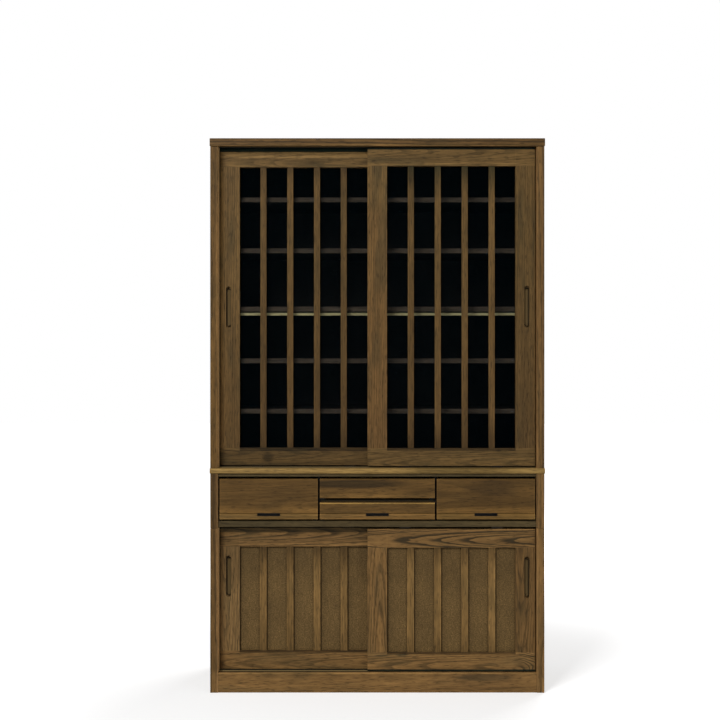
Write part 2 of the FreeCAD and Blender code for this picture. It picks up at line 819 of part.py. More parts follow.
def sliding_door(name, hand, face, levels, rail_heights, slat_width, pull_height, infill):
    """One framed door: rails across its whole width, stiles between them, slats, a pane and glides."""
    floor_level, door_low, door_high, head_level = levels
    top_rail, bottom_rail = rail_heights
    door_y = (face, face + S.door_thickness)
    door_z = (door_low, door_high)
    reach = side_in - S.door_side_clearance
    half_stile = S.stile_width / 2
    door_x = (-reach, half_stile) if hand == "left" else (-half_stile, reach)
    rail_x = (door_x[0] + S.stile_width, door_x[1] - S.stile_width)
    clear_z = (door_low + bottom_rail, door_high - top_rail)

    slat_y = (face + S.slat_setback, face + S.slat_setback + S.slat_thickness)
    slat_z = (clear_z[0] - S.slat_tenon_length, clear_z[1] + S.slat_tenon_length)
    gap = (rail_x[1] - rail_x[0] - slat_width * SLAT_COUNT) / (SLAT_COUNT + 1)
    slats = []
    for count in range(SLAT_COUNT):
        start = rail_x[0] + gap * (count + 1) + slat_width * count
        spans = ((start, start + slat_width), slat_y, slat_z)
        slats.append(
            rounded_block(f"{name}_slat_{count}", spans, ("front_left", "front_right"), S.slat_round)
        )
    slat_group = keep(f"{name}_slats", group(f"{name}_slats", slats))

    groove = S.pane_groove_depth
    pane_spans = (
        (rail_x[0] - groove, rail_x[1] + groove),
        (slat_y[1], slat_y[1] + S.pane_thickness),
        (clear_z[0] - groove, clear_z[1] + groove),
    )
    pane = keep(f"{name}_{infill}", block(f"{name}_{infill}", pane_spans))
    middle_y = face + S.door_thickness / 2
    glides = keep(
        f"{name}_glides",
        door_glides(f"{name}_glides", rail_x, middle_y, floor_level, door_z, head_level),
    )

    left_x = (door_x[0], rail_x[0])
    right_x = (rail_x[1], door_x[1])
    pull_x, meeting_x = (left_x, right_x) if hand == "left" else (right_x, left_x)
    meeting_edge = "right" if hand == "left" else "left"
    pull_rise = pull_height - bottom_rail
    pull_body = pull_stile(f"{name}_pull_body", pull_x, door_y, clear_z, hand, pull_rise)
    meeting_body = rounded_block(
        f"{name}_meeting_body", (meeting_x, door_y, clear_z), (f"front_{meeting_edge}",), S.stile_round
    )
    stiles = []
    for kind, body, span_x in (("pull", pull_body, pull_x), ("meeting", meeting_body, meeting_x)):
        stile_name = f"{name}_{kind}_stile"
        stock = tenoned_stile(stile_name, body, span_x, door_y, clear_z)
        stiles.append(keep(stile_name, cut_away(stile_name, stock, pane)))

    rails = []
    ends = ("front_left", "front_right")
    for end, span_z in (("bottom", (door_low, clear_z[0])), ("top", (clear_z[1], door_high))):
        stock = rounded_block(f"{name}_{end}_rail_stock", (door_x, door_y, span_z), ends, S.stile_round)
        rails.append(cut_away(f"{name}_{end}_rail", stock, *stiles, pane, slat_group, glides))
    keep(f"{name}_rails", group(f"{name}_rails", rails))


# Doors: the left-hand door of each pair runs behind the right-hand one
upper_levels = (sill_high, upper_door_low, upper_door_high, top_low)
lower_levels = (S.plinth_height, lower_door_low, lower_door_high, drawer_floor_low)
upper_rails = (S.upper_top_rail_height, S.upper_bottom_rail_height)
lower_rails = (S.lower_top_rail_height, S.lower_bottom_rail_height)
for hand, face in (("left", rear_door_face), ("right", front_door_face)):
    sliding_door(
        f"upper_{hand}_door", hand, face, upper_levels, upper_rails,
        S.upper_slat_width, S.upper_pull_height, "glass",
    )
    sliding_door(
        f"lower_{hand}_door", hand, face, lower_levels, lower_rails,
        S.lower_slat_width, S.lower_pull_height, "panel",
    )


def check_document():
    """Stop if anything failed to compute, is not a valid solid, or a recess cut nothing."""
    for thing in doc.Objects:
        if "Invalid" in thing.State or "Error" in thing.State:
            raise RuntimeError(f"{thing.Label} failed: {thing.State}")
        if thing.TypeId == "PartDesign::Pocket":
            if thing.Shape.Volume >= thing.BaseFeature.Shape.Volume:
                raise RuntimeError(f"{thing.Label} cut nothing")
    for label, piece in pieces.items():
        if piece.Shape.isNull() or not piece.Shape.isValid() or not piece.Shape.Solids:
            raise RuntimeError(f"{label} is not a valid solid")


def write_parts():
    """Write each sub-part to its own file."""
    os.makedirs(PARTS_FOLDER, exist_ok=True)
    for label, piece in pieces.items():
        piece.Shape.exportStep(os.path.join(PARTS_FOLDER, f"{label}.step"))


doc.recompute()
check_document()
write_parts()
print(f"{len(pieces)} sub-parts written")
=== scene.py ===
"""Finishes, small trim, studio and camera for a two-part kitchen cupboard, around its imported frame."""
import json
import logging
import math
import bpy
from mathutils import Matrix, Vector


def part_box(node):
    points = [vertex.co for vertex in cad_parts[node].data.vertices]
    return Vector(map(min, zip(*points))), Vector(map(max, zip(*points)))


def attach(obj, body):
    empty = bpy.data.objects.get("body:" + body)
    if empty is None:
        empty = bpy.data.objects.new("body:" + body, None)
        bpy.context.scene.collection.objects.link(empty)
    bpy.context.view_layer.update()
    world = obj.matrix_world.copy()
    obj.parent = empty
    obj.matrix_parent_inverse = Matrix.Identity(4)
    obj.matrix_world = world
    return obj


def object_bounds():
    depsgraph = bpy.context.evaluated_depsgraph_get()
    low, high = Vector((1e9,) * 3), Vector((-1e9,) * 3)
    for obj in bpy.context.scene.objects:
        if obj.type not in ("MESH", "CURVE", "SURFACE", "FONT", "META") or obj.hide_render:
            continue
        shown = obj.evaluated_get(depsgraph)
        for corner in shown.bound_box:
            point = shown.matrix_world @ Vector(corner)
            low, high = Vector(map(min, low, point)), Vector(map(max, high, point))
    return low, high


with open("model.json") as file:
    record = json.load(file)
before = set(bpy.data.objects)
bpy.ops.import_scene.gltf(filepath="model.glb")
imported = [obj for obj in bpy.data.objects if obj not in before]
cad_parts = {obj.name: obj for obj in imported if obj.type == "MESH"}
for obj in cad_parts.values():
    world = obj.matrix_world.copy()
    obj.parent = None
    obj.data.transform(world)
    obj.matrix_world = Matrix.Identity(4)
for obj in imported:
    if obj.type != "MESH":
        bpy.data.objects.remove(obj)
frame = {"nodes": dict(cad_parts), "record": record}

import zlib
from dataclasses import dataclass
from enum import Enum
from functools import cached_property
from typing import Any, Mapping, Sequence, Union

import bpy
import numpy as np
from mathutils import Vector

LOG = logging.getLogger("cupboard")
CAD_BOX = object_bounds()
OPENINGS = {each["name"]: np.array(each["box_m"]) for each in frame["record"]["physics"]["openings"]}
MM = 0.001
X, Y, Z = 0, 1, 2
# The two ends of a box along an axis.
LOW, HIGH = 0, 1
Point = tuple[float, float, float]
Colour = tuple[float, float, float]
# A stretch that a mark keeps within: an axis, where it comes in and where it is full.
Limit = tuple[int, float, float]
Limits = tuple[Limit, ...]
WHITE: Colour = (1.0, 1.0, 1.0)
# Sockets of a Mix node for colours: the share and the two colours, and the result.
MIX_INPUTS = (0, 6, 7)
MIX_RESULT = 2
# Edges of new pieces that turn by more than this stay sharp.
SHARP_ANGLE = math.radians(35)
# Half the fade of a mark with a sharp edge.
SHARP_FADE = 0.5 * MM
# Faces inside the cases: their tint, the depths between which it comes in, and half its fade at a door.
INSIDE_TINT: Colour = (0.05, 0.055, 0.06)
INSIDE_SKIN = (0.7 * MM, 0.2 * MM)
INSIDE_FADE = 3 * MM


def shade(red: float, green: float, blue: float) -> Colour:
    """Turn a display colour, each part up to 255, into a linear one, by the sRGB curve.

    Args:
        red: red part.
        green: green part.
        blue: blue part.

    Returns:
        The linear colour, each part from 0 to 1.
    """
    display = np.array((red, green, blue)) / 255
    linear = np.where(display <= 0.04045, display / 12.92, ((display + 0.055) / 1.055) ** 2.4)
    return tuple(float(part) for part in linear)


def grey(level: float) -> Colour:
    """A colour with three equal parts."""
    return (level, level, level)


def chance(word: str) -> float:
    """A number from 0 to 1 that depends only on the word."""
    return zlib.crc32(word.encode()) / 0xFFFFFFFF


def corners(node: str) -> tuple[np.ndarray, np.ndarray]:
    """Lowest and highest corner of a CAD node, as arrays."""
    low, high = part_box(node)
    return np.array(low), np.array(high)


def edge(node: str, end: int, axis: int) -> float:
    """The LOW or HIGH end of a CAD node along an axis."""
    return float(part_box(node)[end][axis])


def front_limits(node: str, depth: float = 1.5 * MM) -> Limits:
    """The stretch that holds only a CAD node's front face, down to a depth behind it."""
    front = edge(node, LOW, Y)
    return ((Y, front + depth, front + depth - MM),)


class Socket:
    """A value inside a material. Arithmetic on it adds Math nodes."""

    def __init__(self, shader: "Shader", output: bpy.types.NodeSocket) -> None:
        """Wrap one output of one node."""
        self.shader = shader
        self.output = output

    def __add__(self, other: "Value") -> "Socket":
        """Sum."""
        return self.shader.maths("ADD", self, other)

    def __sub__(self, other: "Value") -> "Socket":
        """Difference."""
        return self.shader.maths("SUBTRACT", self, other)

    def __rsub__(self, other: "Value") -> "Socket":
        """Difference, with the socket taken away."""
        return self.shader.maths("SUBTRACT", other, self)

    def __mul__(self, other: "Value") -> "Socket":
        """Product."""
        return self.shader.maths("MULTIPLY", self, other)

    def __truediv__(self, other: "Value") -> "Socket":
        """Quotient."""
        return self.shader.maths("DIVIDE", self, other)

    __radd__ = __add__
    __rmul__ = __mul__


Value = Union[Socket, float]
Tint = Union[Socket, Colour]


def swing(value: Value, amount: float, middle: float = 1.0) -> Value:
    """A value from 0 to 1, spread over an amount about a middle."""
    return value * amount + (middle - amount / 2)


class Shader:
    """A node tree, and short ways to add to it."""

    def __init__(self, tree: bpy.types.NodeTree) -> None:
        """Start from an empty tree."""
        tree.nodes.clear()
        self.tree = tree

    def node(
        self,
        kind: str,
        settings: Mapping[str, Any] | None = None,
        inputs: Mapping[str | int, Any] | None = None,
    ) -> bpy.types.Node:
        """Add one node.

        Args:
            kind: the node's type.
            settings: its settings, set first.
            inputs: values or links of its sockets, by name or number.

        Returns:
            The new node.
        """
        made = self.tree.nodes.new(kind)
        for key, value in (settings or {}).items():
            setattr(made, key, value)
        for key, value in (inputs or {}).items():
            socket = made.inputs[key]
            if isinstance(value, Socket):
                self.tree.links.new(value.output, socket)
            elif socket.type == "RGBA":
                socket.default_value = (*value, 1.0)
            else:
                socket.default_value = value
        return made

    def value(
        self,
        kind: str,
        settings: Mapping[str, Any] | None = None,
        inputs: Mapping[str | int, Any] | None = None,
        output: str | int = 0,
    ) -> Socket:
        """Add one node, as node() does, and return one of its outputs."""
        return Socket(self, self.node(kind, settings, inputs).outputs[output])

    def maths(self, operation: str, *values: Value) -> Socket:
        """One Math node."""
        return self.value("ShaderNodeMath", {"operation": operation}, dict(enumerate(values)))

    def step(self, value: Value, low: float, high: float) -> Socket:
        """A smooth step of the value: 0 at low, 1 at high, where low may be the larger."""
        inputs = {"Value": value, "From Min": low, "From Max": high}
        return self.value("ShaderNodeMapRange", {"interpolation_type": "SMOOTHSTEP"}, inputs)

    def mix(self, share: Value, first: Tint, second: Tint, blend: str = "MIX") -> Socket:
        """A colour between two, or their product where blend says so."""
        settings = {"data_type": "RGBA", "blend_type": blend}
        inputs = dict(zip(MIX_INPUTS, (share, first, second)))
        return self.value("ShaderNodeMix", settings, inputs, MIX_RESULT)

    def scaled(self, colour: Tint, amount: Value) -> Socket:
        """A colour times a number."""
        inputs = {"Vector": colour, "Scale": amount}
        return self.value("ShaderNodeVectorMath", {"operation": "SCALE"}, inputs)

    def marked(self, colour: Tint, marks: Sequence["Mark"]) -> Tint:
        """A colour times the tint of each mark, where the mark is."""
        for mark in marks:
            colour = self.mix(mark.share(self), colour, mark.tint, "MULTIPLY")
        return colour

    def noise(self, x: Value, y: Value, z: Value, detail: float = 1.0) -> Socket:
        """Noise, about 0.5, at a point given by three numbers."""
        point = self.value("ShaderNodeCombineXYZ", {}, {0: x, 1: y, 2: z})
        return self.value("ShaderNodeTexNoise", {}, {"Vector": point, "Scale": 1.0, "Detail": detail})

    @cached_property
    def place(self) -> list[Socket]:
        """The three Object coordinates, in metres."""
        point = self.value("ShaderNodeTexCoord", output="Object")
        parts = self.node("ShaderNodeSeparateXYZ", {}, {0: point})
        return [Socket(self, output) for output in parts.outputs]

    def bump(self, height: Socket, depth: float, strength: float) -> Socket:
        """A normal tilted by a height that is worth a depth in metres."""
        inputs = {"Strength": strength, "Distance": depth, "Height": height}
        return self.value("ShaderNodeBump", {}, inputs)

    def finish(self, surface: bpy.types.Node, kind: str = "ShaderNodeOutputMaterial") -> None:
        """Join a surface to the tree's output."""
        self.node(kind, {}, {"Surface": Socket(self, surface.outputs[0])})

    def principled(self, inputs: Mapping[str, Any]) -> None:
        """Make a Principled surface with these inputs the tree's output."""
        self.finish(self.node("ShaderNodeBsdfPrincipled", {}, inputs))


@dataclass(frozen=True)
class Band:
    """A stretch of a surface with its own tint, which comes in from start to end along an axis.

    It can keep within further stretches, each given by its own axis, start and end.
    """

    axis: int
    start: float
    end: float
    tint: Colour
    within: Limits = ()

    @classmethod
    def everywhere(cls, tint: Colour, within: Limits = ()) -> "Band":
        """A band over all heights, or over all that it keeps within."""
        return cls(Z, 0.0, MM, tint, within)

    @classmethod
    def above(cls, axis: int, level: float, fade: float, tint: Colour, within: Limits = ()) -> "Band":
        """A band from a level on, with half the width of its fade."""
        return cls(axis, level - fade, level + fade, tint, within)

    @classmethod
    def below(cls, axis: int, level: float, fade: float, tint: Colour) -> "Band":
        """A band up to a level, with half the width of its fade."""
        return cls(axis, level + fade, level - fade, tint)

    @classmethod
    def near(cls, axis: int, rim: float, reach: float, full: float, tint: Colour) -> "Band":
        """A band beside a rim. It comes in a signed reach away, and is full within a share of that reach."""
        return cls(axis, rim + reach, rim + reach * full, tint)

    def share(self, shader: Shader) -> Socket:
        """How much of the tint a place gets, from 0 to 1."""
        share = shader.step(shader.place[self.axis], self.start, self.end)
        for axis, start, end in self.within:
            share = share * shader.step(shader.place[axis], start, end)
        return share


@dataclass(frozen=True)
class Spot:
    """An oval stretch of a front face with its own tint, which is full in its core."""

    x: float
    z: float
    half_width: float
    half_height: float
    tint: Colour
    core: float = 0.35

    def share(self, shader: Shader) -> Socket:
        """How much of the tint a place gets, from 0 to 1."""
        aside = (shader.place[X] - self.x) / self.half_width
        above = (shader.place[Z] - self.z) / self.half_height
        return shader.step(shader.maths("SQRT", aside * aside + above * above), 1.0, self.core)


Mark = Union[Band, Spot]


def stripe(
    axis: int, low: float, high: float, fade: float, tint: Colour, within: Limits = ()
) -> tuple[Band, Band]:
    """Two bands that put a tint on from low to high, and take it off again beyond.

    Args:
        axis: the axis that the stripe crosses.
        low: its lower edge.
        high: its upper edge.
        fade: half the width of each edge's fade.
        tint: its tint.
        within: further stretches that it keeps within.

    Returns:
        The band that comes in and the band that undoes it.
    """
    undone = tuple(1 / part for part in tint)
    return Band.above(axis, low, fade, tint, within), Band.above(axis, high, fade, undone, within)


def steps(row: "Row", tones: Sequence[float]) -> tuple[Band, ...]:
    """Bands that give each board of a row its own tone, by a step of tint halfway between neighbours.

    Args:
        row: the row of boards.
        tones: a tone for each board, in order.

    Returns:
        A band for each board.
    """
    ratios = np.array(tones) / np.array((1.0, *tones[:-1]))
    starts = row.start + row.pitch * np.arange(len(tones))
    pairs = zip(starts.tolist(), ratios.tolist())
    return tuple(Band.above(row.axis, start, MM, grey(ratio)) for start, ratio in pairs)


def new_material(name: str) -> tuple[bpy.types.Material, Shader]:
    """An empty material and its shader."""
    material = bpy.data.materials.new(name)
    material.use_nodes = True
    return material, Shader(material.node_tree)


class Grain(Enum):
    """Axes along the grain, across the board's wide face and through its thickness."""

    UPRIGHT_FRONT = (Z, X, Y)
    UPRIGHT_SIDE = (Z, Y, X)
    LEVEL_FRONT = (X, Z, Y)
    LEVEL_TOP = (X, Y, Z)
    DEEP_SIDE = (Y, Z, X)


@dataclass(frozen=True)
class Row:
    """Boards of one node that follow each other along an axis, with their pitch and their width there."""

    axis: int
    start: float
    pitch: float
    width: float

    def turns(self, shader: Shader) -> Socket:
        """How many pitches a place is from the row's start."""
        return (shader.place[self.axis] - self.start) / self.pitch

    def offset(self, shader: Shader) -> Socket:
        """How far a place is from the middle of its own board, along the row."""
        return (shader.maths("FRACT", self.turns(shader)) - 0.5) * self.pitch


class Sawing(Enum):
    """Place of the log's heart, beside a board's middle and behind it, its lean, and the ring's width."""

    FLAT = (15 * MM, 17 * MM, 0.045, 6 * MM)
    BROAD = (24 * MM, 95 * MM, 0.03, 5 * MM)
    RIFT = (75 * MM, 45 * MM, 0.012, 5 * MM)


@dataclass(frozen=True)
class Cut:
    """How the boards of a node were cut, and how much paler their edges are.

    The figure is the strength of the rings, of which a calm band keeps only the share that its tint says.
    Patch is the strength of broad dark patches, and wear_and_highlight how much paler the long edges are, or
    all four edges where pale_ends is set: edge wear and a painted highlight. At a knot the rings run round
    its middle. Where a knot_figure is given, it is their strength on the knot's right half, and its left half
    has none.
    """

    grain: Grain
    sawing: Sawing = Sawing.RIFT
    figure: float = 0.28
    tone: float = 1.0
    row: Row | None = None
    marks: tuple[Mark, ...] = ()
    knot: Spot | None = None
    knot_rings: float = 2.0
    knot_figure: float | None = None
    calm: Band | None = None
    patch: float = 0.0
    wear_and_highlight: float = 0.0
    pale_ends: bool = False


@dataclass(frozen=True)
class Finish:
    """A finish, which makes a material of its own for each CAD node that wears it."""

    name: str

    def paint(self, shader: Shader, node: str, *how: Any) -> None:
        """Fill a node's material, in the way of the kind of finish."""
        raise NotImplementedError

    def material(self, node: str, *how: Any) -> bpy.types.Material:
        """Make the material for one node, from what else the kind of finish asks for."""
        material, shader = new_material(f"{self.name}.{node}")
        self.paint(shader, node, *how)
        return material


@dataclass(frozen=True)
class Pattern:
    """Noise drawn out along the grain: its scales along and across, its detail, and where its marks start."""

    along: float
    across: float
    detail: float = 1.0
    start: float = 0.0
    full: float = 1.0

    def noise(self, shader: Shader, point: Sequence[Value]) -> Socket:
        """The noise at a point given along the grain, across it and through the board."""
        along, across, through = point
        return shader.noise(along * self.along, across * self.across, through * self.across, self.detail)

    def marks(self, shader: Shader, point: Sequence[Value]) -> Socket:
        """The noise as marks: 0 up to their start, 1 where they are full."""
        return shader.step(self.noise(shader, point), self.start, self.full)


@dataclass(frozen=True)
class WoodFinish(Finish):
    """Stained open-pored ash. Rings about the log's heart meet the faces as arches and straight lines.

    A share says how much of its colour a kind of mark takes, a swing how far noise moves a value, and a
    spread how far the boards' lots take them apart.
    """

    late: Colour
    early: Colour
    pore: Colour
    dusk: Colour
    dusk_share: float = 0.34
    pore_share: float = 0.6
    tick_share: float = 0.5
    late_pores: float = 0.3
    mottle: float = 0.8
    streak_swing: float = 0.8
    fibre_swing: float = 0.5
    brightness: float = 1.04
    sway: float = 7 * MM
    quick_sway: float = 0.7
    quick_layer: float = 0.4
    log_spread: float = 37.0
    heart_spread: float = 0.6
    seed_steps: tuple[float, float] = (3.7, 5.3)
    seed_spreads: tuple[float, float] = (91.0, 57.0)
    seed_starts: tuple[float, float] = (0.0, 200.0)
    ring_scales: tuple[float, float] = (95.0, 0.8)
    ring_layer: float = 2.5
    ring_swing: float = 2.4
    ragged_swing: float = 0.4
    early_rise: tuple[float, float] = (0.0, 0.07)
    early_fall: tuple[float, float] = (0.58, 0.16)
    knot_rim: tuple[float, float] = (0.0, 0.3)
    roughness: float = 0.5
    pore_roughness: float = 0.2
    streak_roughness: float = 0.12
    specular: float = 0.08
    pale_edge_width: float = 5 * MM
    fibre_height: float = 0.5
    early_height: float = 0.3
    bump_depth: float = 0.25 * MM
    bump_strength: float = 0.4
    slow_bend: Pattern = Pattern(2.2, 5)
    quick_bend: Pattern = Pattern(4, 10)
    ragged: Pattern = Pattern(18, 75)
    pores: Pattern = Pattern(24, 1150, start=0.55, full=0.68)
    ticks: Pattern = Pattern(34, 270, start=0.56, full=0.7)
    fibres: Pattern = Pattern(8, 330, 2.0)
    flecks: Pattern = Pattern(20, 130, 2.0)
    streaks: Pattern = Pattern(1.8, 55, 3.0)
    clouds: Pattern = Pattern(4.5, 22, 2.0, 0.48, 0.7)
    patches: Pattern = Pattern(3.2, 9, start=0.42, full=0.68)

    def lots(self, shader: Shader, node: str, row: Row | None) -> tuple[Value, Value]:
        """Draw each board's lots, always the same for the same node.

        Args:
            shader: the material's shader.
            node: the CAD node.
            row: the row that its boards stand in, if it has more than one.

        Returns:
            A sign, 1 or -1, and a number from 0 to 1.
        """
        luck = chance(node)
        if row is None:
            return (1.0 if luck > 0.5 else -1.0), luck
        index = shader.maths("FLOOR", row.turns(shader))
        first, second = (
            shader.value(
                "ShaderNodeTexWhiteNoise",
                {"noise_dimensions": "1D"},
                {"W": index * step + luck * spread + start},
            )
            for step, spread, start in zip(self.seed_steps, self.seed_spreads, self.seed_starts)
        )
        return shader.maths("SIGN", first - 0.5), second

    def rings(self, shader: Shader, ring: float, drifted: Sequence[Value], radius: Socket) -> Socket:
        """How much of the dark early wood a point has, which starts each ring and fades to late wood.

        Args:
            shader: the material's shader.
            ring: a ring's usual width.
            drifted: the point along the grain, across it and through the board.
            radius: its distance from the heart.

        Returns:
            A share from 0 to 1.
        """
        by_radius, by_drift = self.ring_scales
        uneven = shader.noise(radius * by_radius, drifted[0] * by_drift, self.ring_layer)
        ragged = self.ragged.noise(shader, drifted)
        count = radius / ring + uneven * self.ring_swing + ragged * self.ragged_swing
        turn = shader.maths("FRACT", count)
        return shader.step(turn, *self.early_rise) * shader.step(turn, *self.early_fall)

    def paint(self, shader: Shader, node: str, cut: Cut) -> None:
        """Fill a node's material.

        A point's distance from the heart line, which leans and sways along the board, gives its ring. Pores
        are short dashes, thickest in the early wood.

        Args:
            shader: the material's shader.
            node: the CAD node.
            cut: how its boards lie in the log.
        """
        flip, luck = self.lots(shader, node, cut.row)
        low, high = corners(node)
        half = ((high - low) / 2).tolist()
        point = [part - middle for part, middle in zip(shader.place, ((low + high) / 2).tolist())]
        if cut.row is not None:
            point[cut.row.axis] = cut.row.offset(shader)
            half[cut.row.axis] = cut.row.width / 2
        along, across, through = (point[axis] for axis in cut.grain.value)
        drift = along + luck * self.log_spread
        drifted = (drift, across, through)

        heart_side, heart_depth, lean, ring = cut.sawing.value
        slow = self.slow_bend.noise(shader, drifted) - 0.5
        quick = self.quick_bend.noise(shader, (drift, across, through + self.quick_layer)) - 0.5
        side = across + flip * heart_side * swing(luck, self.heart_spread) + slow * self.sway
        deep = through - heart_depth + along * (flip * lean) + quick * (self.sway * self.quick_sway)
        radius = shader.maths("SQRT", side * side + deep * deep)
        figure: Value = cut.figure
        if cut.calm is not None:
            figure = (1.0 - cut.calm.share(shader) * (1 - cut.calm.tint[X])) * figure
        marks = cut.marks
        if cut.knot is not None:
            swirl = cut.knot.share(shader)
            radius = radius + (1.0 - swirl) * (cut.knot_rings * ring) * swirl - radius * swirl
            marks = (*marks, cut.knot)
            if cut.knot_figure is not None:
                quarter = cut.knot.half_width / 4
                right = shader.step(shader.place[X], cut.knot.x - quarter, cut.knot.x + quarter)
                inside = shader.step(swirl, *self.knot_rim)
                figure = inside * (right * cut.knot_figure - figure) + figure
        early = self.rings(shader, ring, drifted, radius)

        pores = self.pores.marks(shader, drifted) * (early * (1 - self.late_pores) + self.late_pores)
        ticks = self.ticks.marks(shader, drifted)
        clouds = self.clouds.marks(shader, drifted)
        fibres = self.fibres.noise(shader, drifted)
        flecks = self.flecks.noise(shader, drifted)
        streaks = self.streaks.noise(shader, drifted)
        colour = shader.mix(early * figure, self.late, self.early)
        colour = shader.mix(clouds * self.dusk_share, colour, self.dusk)
        colour = shader.mix(pores * self.pore_share, colour, self.pore)
        colour = shader.mix(ticks * self.tick_share, colour, self.pore)
        tone = swing(streaks, self.streak_swing, self.brightness) * swing(flecks, self.mottle)
        tone = tone * swing(fibres, self.fibre_swing) * cut.tone
        if cut.patch:
            tone = tone * (1.0 - self.patches.marks(shader, drifted) * cut.patch)
        # Paler edges: edge wear, and a painted highlight where light catches the arris.
        if cut.wear_and_highlight:
            pale_axes = cut.grain.value[:2] if cut.pale_ends else cut.grain.value[1:2]
            for axis in pale_axes:
                reach = shader.maths("ABSOLUTE", point[axis])
                rim = shader.step(reach, half[axis] - self.pale_edge_width, half[axis])
                tone = tone * (rim * flecks * (2 * cut.wear_and_highlight) + 1.0)

        height = fibres * self.fibre_height - pores - early * self.early_height
        gloss = swing(streaks, self.streak_roughness, self.roughness)
        shader.principled(
            {
                "Base Color": shader.marked(shader.scaled(colour, tone), marks),
                "Roughness": pores * self.pore_roughness + gloss,
                "Specular IOR Level": self.specular,
                "Normal": shader.bump(height, self.bump_depth, self.bump_strength),
            }
        )


@dataclass(frozen=True)
class Speckle:
    """Noise on a front face: a layer of its own, its scales along X and Z, and its detail."""

    layer: float
    x_scale: float
    z_scale: float
    detail: float

    def noise(self, shader: Shader) -> Socket:
        """The noise at a place."""
        x, _, z = shader.place
        return shader.noise(x * self.x_scale, self.layer, z * self.z_scale, self.detail)


@dataclass(frozen=True)
class PaintedShadow:
    """Painted shadow beside a rim: how far from it the shadow starts, where it is full, and its weight."""

    start: float
    full: float
    weight: float


@dataclass(frozen=True)
class FacingFinish(Finish):
    """A matt facing with a fine crossed texture, as on a lower door's panel."""

    thread: Colour
    gap: Colour
    pitch: float = 1.7 * MM
    weft_shake: float = 3.0
    warp_shake: float = 3.5
    crossed_share: float = 0.4
    fleck_share: float = 0.5
    cloud_swing: float = 0.7
    fleck_swing: float = 1.4
    rib_swing: float = 0.7
    roughness: float = 0.8
    roughness_swing: float = 0.1
    specular: float = 0.15
    bump_depth: float = 0.3 * MM
    bump_strength: float = 0.5
    # Painted shadow of the slats and rails on the facing: its strength, its bands beside the slats, under the
    # upper rail and over the lower rail, its share on the slats' lit side, and a wider soft shadow.
    shadow_strength: float = 0.62
    slat_shadow: PaintedShadow = PaintedShadow(6.8 * MM, 1.6 * MM, 0.8)
    head_shadow: PaintedShadow = PaintedShadow(12.8 * MM, 6.4 * MM, 1.1)
    foot_shadow: PaintedShadow = PaintedShadow(6.4 * MM, 2.4 * MM, 0.75)
    lit_side_share: float = 0.4
    soft_shadow: float = 0.16
    soft_shadow_width: float = 30 * MM
    shake: Speckle = Speckle(0.0, 210, 210, 2.0)
    cloud: Speckle = Speckle(3.0, 14, 9, 3.0)
    rib: Speckle = Speckle(5.0, 120, 45, 2.0)
    fleck: Speckle = Speckle(7.0, 230, 230, 2.0)

    def painted_shadow_factor(self, shader: Shader, slats: Row, low: float, high: float) -> Socket:
        """How free of painted shadow the facing is: 1 in the open, less along the slats, the upper rail and
        the lower rail.

        Painted shadow lies close to the wood, most of it under the upper rail and to the right of the slats,
        from where a wider soft shadow fades away.

        Args:
            shader: the material's shader.
            slats: the row of slats before the facing.
            low: height of the lower rail's edge.
            high: height of the upper rail's edge.

        Returns:
            A factor for the colour.
        """
        aside = slats.offset(shader)
        height = shader.place[Z]
        rim = slats.width / 2
        away = shader.maths("ABSOLUTE", aside)
        beside, under, over = self.slat_shadow, self.head_shadow, self.foot_shadow
        shadow_side = shader.step(aside, -rim, rim)
        by_slats = shader.step(away, rim + beside.start, rim + beside.full)
        by_slats = by_slats * (shadow_side * (1 - self.lit_side_share) + self.lit_side_share) * beside.weight
        by_head = shader.step(height, high - under.start, high - under.full) * under.weight
        by_foot = shader.step(height, low + over.start, low + over.full) * over.weight
        worst = shader.maths("MAXIMUM", shader.maths("MAXIMUM", by_head, by_foot), by_slats)
        soft_shadowed = shader.step(aside, rim + self.soft_shadow_width, rim) * shadow_side
        return (1.0 - worst * self.shadow_strength) * (1.0 - soft_shadowed * self.soft_shadow)

    def paint(
        self, shader: Shader, node: str, slats: Row, low: float, high: float, marks: Sequence[Mark]
    ) -> None:
        """Fill a node's material: two sine waves across each other, shaken by noise, with clouds of tone.

        Args:
            shader: the material's shader.
            node: the CAD node; not used.
            slats: the row of slats before it.
            low: height of the lower rail's edge.
            high: height of the upper rail's edge.
            marks: stretches with their own tint.
        """
        x, _, z = shader.place
        speckles = (self.shake, self.cloud, self.rib, self.fleck)
        shake, cloud, rib, fleck = (speckle.noise(shader) for speckle in speckles)
        turn = math.tau / self.pitch
        weft = shader.maths("SINE", x * turn + shake * self.weft_shake)
        warp = shader.maths("SINE", z * turn + shake * self.warp_shake)
        crossed = weft * warp * 0.5 + 0.5
        share = crossed * self.crossed_share + fleck * self.fleck_share
        tone = swing(cloud, self.cloud_swing) * swing(fleck, self.fleck_swing) * swing(rib, self.rib_swing)
        # Painted shadow of the slats and the rails darkens the facing.
        tone = tone * self.painted_shadow_factor(shader, slats, low, high)
        colour = shader.scaled(shader.mix(share, self.gap, self.thread), tone)
        height = crossed + fleck * self.fleck_share
        shader.principled(
            {
                "Base Color": shader.marked(colour, marks),
                "Roughness": swing(cloud, self.roughness_swing, self.roughness),
                "Specular IOR Level": self.specular,
                "Normal": shader.bump(height, self.bump_depth, self.bump_strength),
            }
        )


@dataclass(frozen=True)
class GlassFinish(Finish):
    """A smoked pane with a faint haze and no mirror image."""

    smoke: Colour
    cover: float = 0.2
    smoke_swing: float = 0.4
    roughness: float = 0.16
    roughness_swing: float = 0.08
    haze: Speckle = Speckle(0.0, 3, 2, 3.0)

    def paint(self, shader: Shader, node: str) -> None:
        """Fill a node's material: mostly clear, with a little dark cover that changes slowly."""
        haze = self.haze.noise(shader)
        shader.principled(
            {
                "Base Color": shader.scaled(self.smoke, swing(haze, self.smoke_swing)),
                "Roughness": swing(haze, self.roughness_swing, self.roughness),
                "Specular IOR Level": 0.0,
                "Alpha": self.cover,
            }
        )


